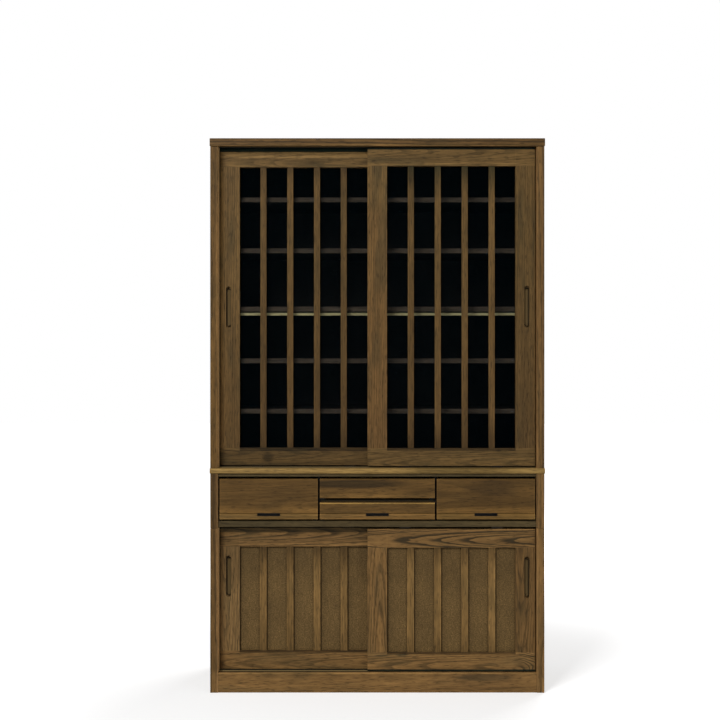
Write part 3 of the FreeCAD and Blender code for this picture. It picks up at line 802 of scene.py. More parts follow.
@dataclass(frozen=True)
class MouldedFinish(Finish):
    """Moulded or extruded plastic, or plain metal, with fine draw lines along one axis."""

    colour: Colour
    lines: int = X
    metallic: float = 0.0
    roughness: float = 0.5
    roughness_swing: float = 0.2
    specular: float = 0.15
    tone_swing: float = 0.5
    line_scale: float = 12.0
    cross_scale: float = 900.0
    line_detail: float = 2.0
    bump_depth: float = 0.1 * MM
    bump_strength: float = 0.3

    def paint(self, shader: Shader, node: str, marks: Sequence[Mark] = ()) -> None:
        """Fill a node's material: noise drawn out along an axis changes tone, gloss and height a little.

        Args:
            shader: the material's shader.
            node: the CAD node that it is on or beside; not used.
            marks: stretches with their own tint.
        """
        scales = [self.line_scale if axis == self.lines else self.cross_scale for axis in (X, Y, Z)]
        draw = shader.noise(*(part * scale for part, scale in zip(shader.place, scales)), self.line_detail)
        colour = shader.scaled(self.colour, swing(draw, self.tone_swing))
        shader.principled(
            {
                "Base Color": shader.marked(colour, marks),
                "Roughness": swing(draw, self.roughness_swing, self.roughness),
                "Metallic": self.metallic,
                "Specular IOR Level": self.specular,
                "Normal": shader.bump(draw, self.bump_depth, self.bump_strength),
            }
        )


def ash(name: str, *colours: Colour, **more: float) -> WoodFinish:
    """A wood finish from the display colours of its late wood, early wood, pores and dusky clouds."""
    return WoodFinish(name, *(shade(*colour) for colour in colours), **more)


STAINED = ash("stained_ash", (116, 87, 50), (54, 43, 26), (36, 29, 18), (68, 58, 36))
OLIVE = ash("olive_ash", (115, 89, 51), (54, 45, 27), (35, 30, 19), (67, 59, 37), dusk_share=0.5)
SLAT = ash("slat_ash", (112, 86, 49), (78, 61, 35), (46, 37, 23), (76, 64, 38))
DRAWER = ash(
    "drawer_ash", (104, 77, 40), (76, 57, 30), (44, 34, 19), (68, 54, 30), mottle=0.4, sway=14 * MM
)
SILL = ash("sill_ash", (136, 109, 62), (104, 82, 46), (70, 55, 32), (108, 90, 54))
# A darker copy of the stain, which paints the shade on the rails under the sill and the drawers and on the
# shelf between the centre drawers.
SHADED_ASH = ash("beam_ash", (73, 61, 38), (53, 44, 28), (32, 27, 18), (55, 48, 31))
INTERIOR = ash("interior_ash", (20, 18, 15), (13, 12, 10), (8, 7, 6), (14, 13, 11), roughness=0.65)
PLAIN = ash("plain_wood", (198, 170, 124), (172, 140, 94), (140, 108, 70), (178, 150, 104))
BACKING = ash("back_plywood", (132, 102, 66), (104, 78, 49), (80, 58, 36), (112, 88, 56))
BATTEN = ash("pale_batten", (200, 192, 142), (182, 170, 120), (148, 134, 90), (188, 178, 130))
PANEL = FacingFinish("textured_panel", shade(125, 98, 57), shade(67, 53, 31))
GLASS = GlassFinish("smoked_glass", shade(3, 10, 14))
TRACK = MouldedFinish("track_plastic", shade(17, 27, 25))
SILL_TRACK = MouldedFinish("sill_track_plastic", shade(86, 75, 50))
GLIDE = MouldedFinish("glide_nylon", shade(44, 38, 32))
CUP = MouldedFinish("cup_plastic", shade(88, 71, 44), lines=Z, roughness=0.6, specular=0.05)
# Near black: the slot lining also paints the shade deep in a drawer's finger slot.
SLOT_SHADE_LINER = MouldedFinish("slot_plastic", shade(14, 14, 13), roughness=0.6)
BRASS = MouldedFinish("pin_brass", shade(184, 148, 84), lines=X, metallic=1.0, roughness=0.35)
STEEL = MouldedFinish("nail_steel", shade(150, 148, 142), lines=Z, metallic=1.0, roughness=0.4)


def put_on(node: str, finish: Finish, *how: Any) -> None:
    """Give a CAD node's object the material that a finish makes for it.

    Args:
        node: the CAD node.
        finish: its finish.
        how: what else the finish asks for.
    """
    material = finish.material(node, *how)
    frame["nodes"][node].material_slots[0].material = material
    LOG.info("%s wears %s", node, material.name)


def skin(name: str, grids: np.ndarray) -> bpy.types.Object:
    """Make one mesh of closed skins that all have the same grid of points.

    Each skin is a grid whose rows are closed rings. Quads join neighbouring rings, and one flat face closes
    the first and the last ring. A skin whose signed volume is negative has its faces turned round.

    Args:
        name: the piece's name.
        grids: points as (skin, ring, place on the ring, xyz).

    Returns:
        The new object, at the origin.
    """
    count, rings, round_points, _ = grids.shape
    number = np.arange(rings * round_points).reshape(rings, round_points)
    ahead = np.roll(number, -1, axis=1)
    quads = np.stack([number[:-1], ahead[:-1], ahead[1:], number[1:]], axis=-1).reshape(-1, 4)
    points = grids.reshape(count, -1, 3)
    centred = points[0] - points[0].mean(axis=0)
    first, second, third, fourth = (centred[quads[:, corner]] for corner in range(4))
    volume = np.einsum("ij,ij->", first, np.cross(second, third) + np.cross(third, fourth))
    order = 1 if volume > 0 else -1
    caps = [number[0][::-1], number[-1]]
    faces = [quad[::order] for quad in quads] + [cap[::order] for cap in caps]
    shifted = [(face + start).tolist() for start in np.arange(count) * rings * round_points for face in faces]
    mesh = bpy.data.meshes.new(name)
    mesh.from_pydata(points.reshape(-1, 3).tolist(), [], shifted)
    mesh.validate()
    mesh.set_sharp_from_angle(angle=SHARP_ANGLE)
    piece = bpy.data.objects.new(name, mesh)
    bpy.context.scene.collection.objects.link(piece)
    return piece


def add_piece(
    piece: bpy.types.Object, body: str, material: bpy.types.Material
) -> None:
    """Dress a new piece and let it ride on a CAD body.

    Args:
        piece: the new object.
        body: the CAD body that it moves with.
        material: its finish.
    """
    piece.data.materials.append(material)
    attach(piece, body)
    LOG.info("%s rides on %s", piece.name, body)


@dataclass
class RecessLining:
    """A thin lining inside a recess of a front face: a rim, walls and a floor, with rounded corners.

    The rim's and the foot's points are an inset and a depth in wall thicknesses, from the front or the floor.
    """

    name: str
    opening: np.ndarray
    spare: float
    corner: float
    wall: float = 0.9 * MM
    gap: float = 0.1 * MM
    seam: float = 0.01 * MM
    corner_points: int = 10
    rim: tuple[tuple[float, float], ...] = ((0.0, 0.4), (0.15, 0.1), (0.5, 0.0), (0.85, 0.1), (1.0, 0.4))
    foot: tuple[tuple[float, float], ...] = ((1.0, -1.0), (1.3, -0.3), (2.0, 0.0))
    # Painted shade in the pull: the walls' tint, and the tint, width and fade of the floor's dark top and
    # outer side.
    wall_shade_tint: Colour = (0.4, 0.4, 0.42)
    shadow_tint: Colour = (0.34, 0.35, 0.38)
    shadow_width: float = 5 * MM
    shadow_fade: float = 1 * MM

    def shadows(self, outer: int) -> tuple[Band, ...]:
        """Painted shade of a finger pull: dark walls, and a floor that is dark at its top and along its outer
        side.

        Args:
            outer: which end along x is the outer one, LOW or HIGH.

        Returns:
            The bands.
        """
        _, high = self.opening
        inward = 1 if outer == LOW else -1
        floor = float(high[Y]) + self.spare - self.gap - self.wall
        side = float(self.opening[outer][X]) + inward * (self.shadow_width - self.spare)
        top = float(high[Z]) + self.spare - self.shadow_width
        return (
            Band.below(Y, floor - 2 * self.wall, self.wall / 2, self.wall_shade_tint),
            Band.below(X, side, inward * self.shadow_fade, self.shadow_tint),
            Band.above(Z, top, self.shadow_fade, self.shadow_tint),
        )

    def build(self) -> bpy.types.Object:
        """Carry a profile round a rounded rectangle.

        A point of the outline is a corner's centre plus its radius, less the profile's inset, along an angle
        that turns once round. The profile goes from under the floor up the outer wall, over the rim, down the
        inner wall and round into the floor.

        Returns:
            The new object.
        """
        low, high = self.opening
        centre = (low + high) / 2
        half = (high - low) / 2 + self.spare - self.gap
        corner = min(self.corner, half[X], half[Z]) - self.seam
        depth = high[Y] - low[Y] + self.spare - self.gap
        rim = self.wall * np.array(self.rim)
        foot = self.wall * np.array(self.foot) + (0.0, depth - self.wall)
        profile = np.concatenate([[(0.0, depth)], rim, foot])
        inset, deep = profile[:, 0, None], profile[:, 1, None]
        quarter = np.linspace(0, math.pi / 2, self.corner_points)
        angle = (quarter + np.arange(4)[:, None] * math.pi / 2).ravel()
        side_x = np.repeat((1, -1, -1, 1), self.corner_points)
        side_z = np.repeat((1, 1, -1, -1), self.corner_points)
        x = centre[X] + side_x * (half[X] - corner) + (corner - inset) * np.cos(angle)
        z = centre[Z] + side_z * (half[Z] - corner) + (corner - inset) * np.sin(angle)
        y = low[Y] + np.broadcast_to(deep, x.shape)
        return skin(self.name, np.stack([x, y, z], axis=-1)[None])


@dataclass
class NailHeads:
    """Domed heads of the nails that hold a back panel, in a row round its edge."""

    name: str
    panel: str
    radius: float = 2.4 * MM
    height: float = 0.9 * MM
    inset: float = 12 * MM
    spacing: float = 105 * MM
    round_points: int = 14
    rises: tuple[float, ...] = (0.0, 25.0, 55.0, 80.0)

    def places(self) -> np.ndarray:
        """Points on the panel's rear face, evenly spaced along its four edges, as (nail, xyz)."""
        low, high = corners(self.panel)
        margin = np.array((self.inset, 0, self.inset))
        low, high = low + margin, high - margin
        across = np.linspace(low[X], high[X], round((high[X] - low[X]) / self.spacing) + 1)
        up = np.linspace(low[Z], high[Z], round((high[Z] - low[Z]) / self.spacing) + 1)[1:-1]
        xs = np.concatenate([across, across, np.full(len(up), low[X]), np.full(len(up), high[X])])
        zs = np.concatenate([np.full(len(across), low[Z]), np.full(len(across), high[Z]), up, up])
        return np.stack([xs, np.full(len(xs), high[Y]), zs], axis=-1)

    def build(self) -> bpy.types.Object:
        """Set a low dome at each place.

        The radius of a dome's rings falls as the cosine of an angle, while their height rises as its sine.

        Returns:
            The new object.
        """
        rise = np.radians(self.rises)[:, None]
        angle = np.linspace(0, math.tau, self.round_points, endpoint=False)
        ring = self.radius * np.cos(rise)
        height = np.broadcast_to(self.height * np.sin(rise), (len(rise), self.round_points))
        dome = np.stack([ring * np.cos(angle), height, ring * np.sin(angle)], axis=-1)
        return skin(self.name, dome[None] + self.places()[:, None, None, :])


class Infill(Enum):
    """What fills a door's frame, with the name of its CAD node's ending."""

    GLASS = "glass"
    PANEL = "panel"


@dataclass
class SlidingDoor:
    """One framed door: stiles, rails, slats, pane, glides, and a lined finger pull.

    Tones and tints multiply the finish. A fall goes down the uprights. The shade and the gleam below it are
    at the upper rail's top, the foot shade and a painted shade line at the lower rail's two edges.
    """

    body: str
    infill: Infill
    wood: WoodFinish
    rail_figure: float
    top_tone: float = 1.0
    foot_tone: float = 1.0
    pull_tone: float = 1.0
    meeting_tone: float = 1.0
    stile_sawing: Sawing = Sawing.RIFT
    stile_figure: float = 0.4
    foot_calm: float = 1.0
    slat_tone: float = 1.0
    slat_tones: tuple[float, ...] = (1.0, 1.0, 1.0, 1.0)
    # Painted shade at the slats' heads under the upper rail; slat_foot makes them darker towards their foot.
    slat_head_shade: Colour = grey(0.6)
    slat_foot: float = 0.65
    slat_fade: float = 95 * MM
    slat_share: float = 0.25
    fall: Colour = WHITE
    pull_head: float = 1.0
    pull_marks: tuple[Mark, ...] = ()
    meeting_marks: tuple[Mark, ...] = ()
    # Painted light along the pull stile's outer edge.
    outer_painted_light: float = 1.0
    outer_width: float = 30 * MM
    # Painted shade over the panel's upper part.
    panel_head_shade: float = 0.83
    shade_height: float = 0.0
    shade_tint: Colour = WHITE
    gleam: float = 1.1
    gleam_height: float = 8 * MM
    foot_shade_height: float = 0.0
    foot_shade_tint: float = 0.35
    foot_shade_fade: float = 0.8 * MM
    # Painted shade along the lower rail's lower edge, for the gap under the door.
    lower_edge_shade_height: float = 4.5 * MM
    lower_edge_shade_tint: Colour = WHITE
    rail_spots: tuple[Spot, ...] = ()
    knot: Spot | None = None
    knot_rings: float = 2.0
    knot_figure: float | None = None
    wear_and_highlight: float = 0.2
    pull_spare: float = 0.5 * MM
    pull_corner: float = 9 * MM

    def node(self, piece: str) -> str:
        """Name of one of the door's CAD nodes."""
        return f"{self.body}_{piece}"

    def outer_end(self) -> int:
        """The end along x, LOW or HIGH, that the pull stile is at."""
        return LOW if edge(self.node("pull_stile"), LOW, X) < 0 else HIGH

    def rail_row(self) -> Row:
        """The two rails, one above the other, with the stiles' ends between them."""
        rails, slats = self.node("rails"), self.node("slats")
        foot, foot_top = edge(rails, LOW, Z), edge(slats, LOW, Z)
        foot_middle = (foot + foot_top) / 2
        pitch = (edge(slats, HIGH, Z) + edge(rails, HIGH, Z)) / 2 - foot_middle
        return Row(Z, foot_middle - pitch / 2, pitch, foot_top - foot)

    def slat_row(self) -> Row:
        """The slats side by side, evenly spaced between the first and the last."""
        left, right = (edge(self.node("slats"), end, X) for end in (LOW, HIGH))
        pitch = (right - left) / (len(self.slat_tones) - 1 + self.slat_share)
        width = pitch * self.slat_share
        return Row(X, left - (pitch - width) / 2, pitch, width)

    def build(self) -> None:
        """Line the finger pull."""
        opening = OPENINGS[f"{self.body}_pull"]
        lining = RecessLining(f"{self.body}_pull_lining", opening, self.pull_spare, self.pull_corner)
        finish = CUP.material(self.node("pull_stile"), lining.shadows(self.outer_end()))
        add_piece(lining.build(), self.body, finish)

    def rail_marks(self, parting: float) -> tuple[Mark, ...]:
        """The lower rail's own tone, the rails' dark edges with painted shade along the lower one, a gleam
        and the rails' own spots.

        Args:
            parting: a height between the two rails.

        Returns:
            The marks.
        """
        rails, slats = self.node("rails"), self.node("slats")
        top = edge(rails, HIGH, Z) - self.shade_height
        foot_shade = edge(slats, LOW, Z) - self.foot_shade_height
        lower_edge_shade = edge(rails, LOW, Z) + self.lower_edge_shade_height
        stiles = (self.node("pull_stile"), self.node("meeting_stile"))
        left = min(edge(stile, HIGH, X) for stile in stiles)
        right = max(edge(stile, LOW, X) for stile in stiles)
        panes = ((X, left - MM, left + MM), (X, right + MM, right - MM))
        return (
            Band.below(Z, parting, MM, grey(self.foot_tone / self.top_tone)),
            Band.above(Z, top, MM, self.shade_tint),
            *stripe(Z, top - self.gleam_height, top, MM, grey(self.gleam)),
            *stripe(Z, foot_shade, parting, self.foot_shade_fade, grey(self.foot_shade_tint), panes),
            # Painted shade along the lower rail's lower edge.
            Band.below(Z, lower_edge_shade, MM, self.lower_edge_shade_tint),
            *self.rail_spots,
        )

    def dress(self) -> None:
        """Give each CAD node of the door its finish."""
        upright, level = Grain.UPRIGHT_FRONT, Grain.LEVEL_FRONT
        low, high = (edge(self.node("slats"), end, Z) for end in (LOW, HIGH))
        middle, tall = (low + high) / 2, high - low
        quarter = middle + tall / 4
        fall = Band(Z, quarter, low, self.fall)
        head = Band(Z, middle, quarter, grey(self.pull_head))
        outer = self.outer_end()
        inward = self.outer_width if outer == LOW else -self.outer_width
        rim = edge(self.node("pull_stile"), outer, X)
        # Painted light along the pull stile's outer edge.
        outer_light = Band.near(X, rim, inward, full=0.5, tint=grey(self.outer_painted_light))
        for stile, tone, marks in (
            ("pull_stile", self.pull_tone, (fall, head, outer_light, *self.pull_marks)),
            ("meeting_stile", self.meeting_tone, (fall, *self.meeting_marks)),
        ):
            cut = Cut(upright, self.stile_sawing, self.stile_figure, tone, marks=marks, wear_and_highlight=self.wear_and_highlight)
            put_on(self.node(stile), self.wood, cut)
        rail_row = self.rail_row()
        parting = rail_row.start + rail_row.pitch
        rails = Cut(
            level,
            Sawing.FLAT,
            self.rail_figure,
            self.top_tone,
            rail_row,
            self.rail_marks(parting),
            self.knot,
            self.knot_rings,
            self.knot_figure,
            Band.below(Z, parting, MM, grey(self.foot_calm)),
            wear_and_highlight=self.wear_and_highlight,
        )
        put_on(self.node("rails"), self.wood, rails)
        slat_row = self.slat_row()
        slat_marks = (
            fall,
            # Painted shade at the slats' heads, and darker towards their foot.
            Band(Z, high - self.slat_fade, high, self.slat_head_shade),
            Band(Z, low + self.slat_fade, low, grey(self.slat_foot)),
            *steps(slat_row, self.slat_tones),
        )
        slats = Cut(upright, tone=self.slat_tone, row=slat_row, marks=slat_marks, wear_and_highlight=self.wear_and_highlight)
        put_on(self.node("slats"), SLAT, slats)
        pane = self.node(self.infill.value)
        if self.infill is Infill.GLASS:
            put_on(pane, GLASS)
        else:
            # Painted shade over the panel's upper part.
            dim = Band(Z, middle, middle + tall / 3, grey(self.panel_head_shade))
            put_on(pane, PANEL, slat_row, low, high, (dim,))
        put_on(self.node("glides"), GLIDE)


@dataclass
class Drawer:
    """One drawer: a stained front, a pale box, and a lined finger slot where the front has one.

    The strip and the painted highlight line in it are under the front's groove, the glow above it, the foot
    glow at the front's lower edge and the painted highlight on the arris at its upper one.
    """

    body: str
    slotted: bool = True
    lit_arris: bool = False
    tone: float = 1.0
    figure: float = 0.3
    slot_spare: float = 0.3 * MM
    slot_corner: float = 2.2 * MM
    strip_height: float = 21 * MM
    strip_tint: Colour = (1.46, 1.46, 1.42)
    glow_height: float = 31 * MM
    glow_tint: Colour | None = None
    # A painted highlight line in the strip under the groove.
    line_low: float = 8 * MM
    line_high: float = 3 * MM
    line_fade: float = 0.8 * MM
    line_highlight: Colour = grey(1.15)
    # A painted highlight on the front's top arris.
    arris_low: float = 5.8 * MM
    arris_high: float = 2.0 * MM
    arris_fade: float = 0.4 * MM
    arris_highlight: Colour = (2.9, 3.2, 3.0)
    spots: tuple[Spot, ...] = ()
    foot_glow_height: float = 20 * MM
    foot_glow_tint: Colour = WHITE
    patch: float = 0.3
    wear_and_highlight: float = 0.25
    # Painted shade on the box's front end, which shows in the gaps beside the front.
    box_front: float = 40 * MM
    box_front_shade: Colour = (0.02, 0.05, 0.1)

    def build(self) -> None:
        """Line the finger slot."""
        if self.slotted:
            name, opening = f"{self.body}_slot_lining", OPENINGS[f"{self.body}_slot"]
            lining = RecessLining(name, opening, self.slot_spare, self.slot_corner).build()
            add_piece(lining, self.body, SLOT_SHADE_LINER.material(f"{self.body}_front"))

    def front_marks(self, front: str) -> tuple[Mark, ...]:
        """The front's own spots, its glows, the strip under its groove with a painted highlight line, and a
        painted highlight on its top arris.
        """
        low, high = edge(front, LOW, Z), edge(front, HIGH, Z)
        marks: list[Mark] = list(self.spots)
        marks.append(Band.near(Z, low, self.foot_glow_height, full=1 / 3, tint=self.foot_glow_tint))
        if self.slotted:
            groove = low + self.strip_height
            if self.glow_tint is not None:
                marks.append(Band.near(Z, groove, self.glow_height, full=0.3, tint=self.glow_tint))
            marks.append(Band.below(Z, groove, SHARP_FADE, self.strip_tint))
            # A painted highlight line in the strip.
            line = (groove - self.line_low, groove - self.line_high)
            marks.extend(stripe(Z, *line, self.line_fade, self.line_highlight))
        # A painted highlight on the top arris.
        if self.lit_arris:
            arris = (high - self.arris_low, high - self.arris_high)
            marks.extend(stripe(Z, *arris, self.arris_fade, self.arris_highlight))
        return tuple(marks)

    def dress(self) -> None:
        """Give the front and the box their finishes, with painted shade on the box's front end."""
        front, box = f"{self.body}_front", f"{self.body}_box"
        cut = Cut(
            Grain.LEVEL_FRONT,
            Sawing.BROAD,
            self.figure,
            self.tone,
            marks=self.front_marks(front),
            patch=self.patch,
            wear_and_highlight=self.wear_and_highlight,
            pale_ends=True,
        )
        put_on(front, DRAWER, cut)
        gap_shade = Band.near(Y, edge(box, LOW, Y), self.box_front, full=0.8, tint=self.box_front_shade)
        put_on(box, PLAIN, Cut(Grain.DEEP_SIDE, marks=(gap_shade,)))


@dataclass(frozen=True)
class Flank:
    """One flank of the cupboard: the end along x that its boards turn inwards, and their painted highlight
    and painted light there.
    """

    inner_end: int
    arris_highlight: Colour
    reveal_light: Colour
    reveal_depth: float = 0.0

    def outward(self, distance: float) -> float:
        """A distance along x, away from the cupboard's middle."""
        return distance if self.inner_end == LOW else -distance


# Each flank's painted highlight on the inner arris, and painted light on the reveal before the door.
LEFT = Flank(HIGH, arris_highlight=(1.85, 1.85, 1.95), reveal_light=(3.0, 3.3, 3.8))
RIGHT = Flank(LOW, arris_highlight=(1.13, 1.13, 1.15), reveal_light=(1.7, 1.65, 1.7), reveal_depth=26 * MM)
SIDE_FRONTS = front_limits("base_left_side")


@dataclass(frozen=True)
class SideBoard:
    """One side board.

    Its inner face is dark behind the door or drawer beside it, and has painted light before it. A painted
    highlight runs along its inner arris. Its front edge has a tone of its own.
    """

    node: str
    beside: str
    flank: Flank
    front_tone: float
    marks: tuple[Mark, ...] = ()
    tone: float = 0.82
    figure: float = 0.5
    front_depth: float = 2 * MM
    arris_width: float = 9 * MM

    def dress(self) -> None:
        """Give the board its finish."""
        flank = self.flank
        inner = edge(self.node, flank.inner_end, X)
        front = edge(self.node, LOW, Y)
        face = edge(self.beside, LOW, Y) + flank.reveal_depth
        start, end = (inner + flank.outward(depth) for depth in INSIDE_SKIN)
        behind = ((Y, face - INSIDE_FADE, face + INSIDE_FADE),)
        before = ((Y, face + INSIDE_FADE, face - INSIDE_FADE),)
        marks = (
            Band(X, start, end, INSIDE_TINT, behind),
            # Painted light on the reveal before the door, and a painted highlight along the inner arris.
            Band(X, start, end, flank.reveal_light, before),
            Band.near(X, inner, flank.outward(self.arris_width), full=1 / 3, tint=flank.arris_highlight),
            Band.near(Y, front, self.front_depth, full=1 / 4, tint=grey(self.front_tone)),
            *self.marks,
        )
        put_on(self.node, STAINED, Cut(Grain.UPRIGHT_SIDE, figure=self.figure, tone=self.tone, marks=marks))


@dataclass
class Carcass:
    """The two cases: sides, boards, shelves, backs, tracks, pins and plinth."""

    sides: tuple[SideBoard, ...] = (
        SideBoard(
            "base_left_side",
            "lower_left_door_rails",
            LEFT,
            front_tone=0.83,
            marks=(Band(Z, 90 * MM, 66 * MM, grey(1.5), SIDE_FRONTS),),
        ),
        SideBoard(
            "base_right_side",
            "lower_right_door_rails",
            RIGHT,
            front_tone=1.55,
            marks=(Band(Z, 90 * MM, 66 * MM, grey(1.18), SIDE_FRONTS),),
        ),
        SideBoard("drawer_case_left_side", "left_drawer_front", LEFT, front_tone=0.6),
        SideBoard("drawer_case_right_side", "right_drawer_front", RIGHT, front_tone=1.15),
        SideBoard(
            "upper_left_side",
            "upper_left_door_rails",
            LEFT,
            front_tone=0.83,
            marks=(Band.everywhere((1.0, 0.98, 0.85), SIDE_FRONTS),),
        ),
        SideBoard(
            "upper_right_side",
            "upper_right_door_rails",
            RIGHT,
            front_tone=1.02,
            marks=(
                Band(Z, 1550 * MM, 1760 * MM, grey(1.2)),
                Band(X, 585 * MM, 598 * MM, (0.74, 0.74, 0.8), SIDE_FRONTS),
            ),
        ),
    )
    shelves: tuple[str, ...] = ("loose_shelves", "base_shelf", "fixed_shelf")
    backs: tuple[str, ...] = ("upper_back_panel", "base_back_panel")
    back_tint: Colour = (0.008, 0.012, 0.016)
    shelf_edge_tint: Colour = (12.6, 11.4, 10.2)
    shelf_edge_depth: float = 1.5 * MM
    shelf_pitch: float = 150 * MM
    shelf_shift: float = 90 * MM
    # Painted shade on the right half of the base sill track, under the front door, and painted light on its
    # left half, before the rear door.
    sill_track_light_and_shade: tuple[Band, ...] = (
        Band(X, -40 * MM, -30 * MM, (0.3, 0.45, 0.6)),
        Band(X, -30 * MM, -40 * MM, (2.2, 2.1, 2.0)),
    )
    sill_spots: tuple[Spot, ...] = (Spot(303 * MM, 794 * MM, 268 * MM, 200 * MM, (0.62, 0.62, 0.6)),)
    plinth_spots: tuple[Spot, ...] = (
        Spot(360 * MM, 36 * MM, 215 * MM, 200 * MM, (0.9, 0.9, 0.93)),
        Spot(381 * MM, 54 * MM, 125 * MM, 15 * MM, (0.64, 0.69, 0.78), 0.6),
    )
    # A painted highlight along the plinth's top arris.
    plinth_arris: float = 4.5 * MM
    plinth_arris_highlight: Colour = (1.3, 1.34, 1.34)
    batten_shade_height: float = 5.5 * MM
    batten_shade_tint: Colour = (0.12, 0.14, 0.16)
    top_marks: tuple[Mark, ...] = (
        Band(Z, 1965 * MM, 1960 * MM, (1.6, 1.6, 1.5), front_limits("top_board", 2 * MM)),
    )

    def inner_cuts(self) -> dict[str, tuple[WoodFinish, Cut]]:
        """The shelves, dark but for their front edges, and the backs, dark on the inside only."""
        cuts = {}
        for node in self.shelves:
            front = edge(node, LOW, Y)
            band = Band.near(Y, front, self.shelf_edge_depth, full=0.5, tint=self.shelf_edge_tint)
            row = Row(Z, edge(node, LOW, Z) - self.shelf_shift, self.shelf_pitch, self.shelf_pitch)
            cuts[node] = (INTERIOR, Cut(Grain.LEVEL_TOP, row=row, marks=(band,)))
        for node in self.backs:
            core = (edge(node, LOW, Y) + edge(node, HIGH, Y)) / 2
            band = Band.below(Y, core, SHARP_FADE, self.back_tint)
            cuts[node] = (BACKING, Cut(Grain.UPRIGHT_FRONT, Sawing.BROAD, marks=(band,)))
        return cuts

    def other_cuts(self) -> dict[str, tuple[WoodFinish, Cut]]:
        """The boards that run across, the plinth, the dividers, the batten and the dowels."""
        level, front = Grain.LEVEL_TOP, Grain.LEVEL_FRONT
        batten_line = edge("fixed_shelf_batten", HIGH, Z) - self.batten_shade_height
        batten_shade = Band.above(Z, batten_line, SHARP_FADE, self.batten_shade_tint)
        # A painted highlight along the plinth's top arris.
        plinth_line = edge("plinth_front_rail", HIGH, Z) - self.plinth_arris
        arris = Band.above(Z, plinth_line, SHARP_FADE, self.plinth_arris_highlight)
        plinth = Cut(
            front,
            Sawing.BROAD,
            figure=0.14,
            tone=1.22,
            marks=(*self.plinth_spots, arris),
            patch=0.06,
            wear_and_highlight=0.15,
        )
        door_back = edge("upper_left_door_rails", HIGH, Y)
        start, end = (edge("sill_board", HIGH, Z) - depth for depth in INSIDE_SKIN)
        inside = Band(Y, door_back, door_back + INSIDE_FADE, INSIDE_TINT, ((Z, start, end),))
        return {
            "top_board": (STAINED, Cut(level, figure=0.7, tone=0.61, marks=self.top_marks)),
            "sill_board": (SILL, Cut(level, tone=1.19, marks=(*self.sill_spots, inside))),
            # These three wear the darker stain that paints their shade, the centre shelf darkest.
            "lower_top_board": (SHADED_ASH, Cut(level, tone=1.15)),
            "drawer_floor_board": (SHADED_ASH, Cut(level, tone=1.04)),
            "plinth_front_rail": (STAINED, plinth),
            "base_floor_board": (INTERIOR, Cut(level)),
            "plinth_bearers": (PLAIN, Cut(front)),
            "drawer_dividers": (INTERIOR, Cut(Grain.DEEP_SIDE)),
            "centre_drawer_shelf": (SHADED_ASH, Cut(level, tone=0.42)),
            "fixed_shelf_batten": (BATTEN, Cut(front, marks=(batten_shade,))),
            "case_dowels": (PLAIN, Cut(Grain.UPRIGHT_FRONT)),
        }

    def build(self) -> None:
        """Nail the back panels."""
        for panel in self.backs:
            nails = NailHeads(f"{panel}_nails", panel).build()
            add_piece(nails, "carcass", STEEL.material(panel))

    def dress(self) -> None:
        """Give every CAD node of the two cases its finish."""
        for side in self.sides:
            side.dress()
        for node, (finish, cut) in (self.inner_cuts() | self.other_cuts()).items():
            put_on(node, finish, cut)
        for track, finish, marks in (
            ("base_sill_track", SILL_TRACK, self.sill_track_light_and_shade),
            ("base_head_track", TRACK, ()),
            ("upper_sill_track", SILL_TRACK, ()),
            ("upper_head_track", TRACK, ()),
        ):
            put_on(track, finish, marks)
        put_on("shelf_pins", BRASS)


@dataclass(frozen=True)
class Lamp:
    """A square soft light aimed at a point."""

    name: str
    place: Point
    aim: Point
    size: float
    power: float

    def build(self) -> None:
        """Hang the lamp, out of the camera's sight."""
        light = bpy.data.lights.new(self.name, "AREA")
        light.size = self.size
        light.energy = self.power
        lamp = bpy.data.objects.new(self.name, light)
        lamp.location = self.place
        lamp.rotation_euler = (Vector(self.aim) - Vector(self.place)).to_track_quat("-Z", "Y").to_euler()
        lamp.visible_camera = False
        bpy.context.scene.collection.objects.link(lamp)


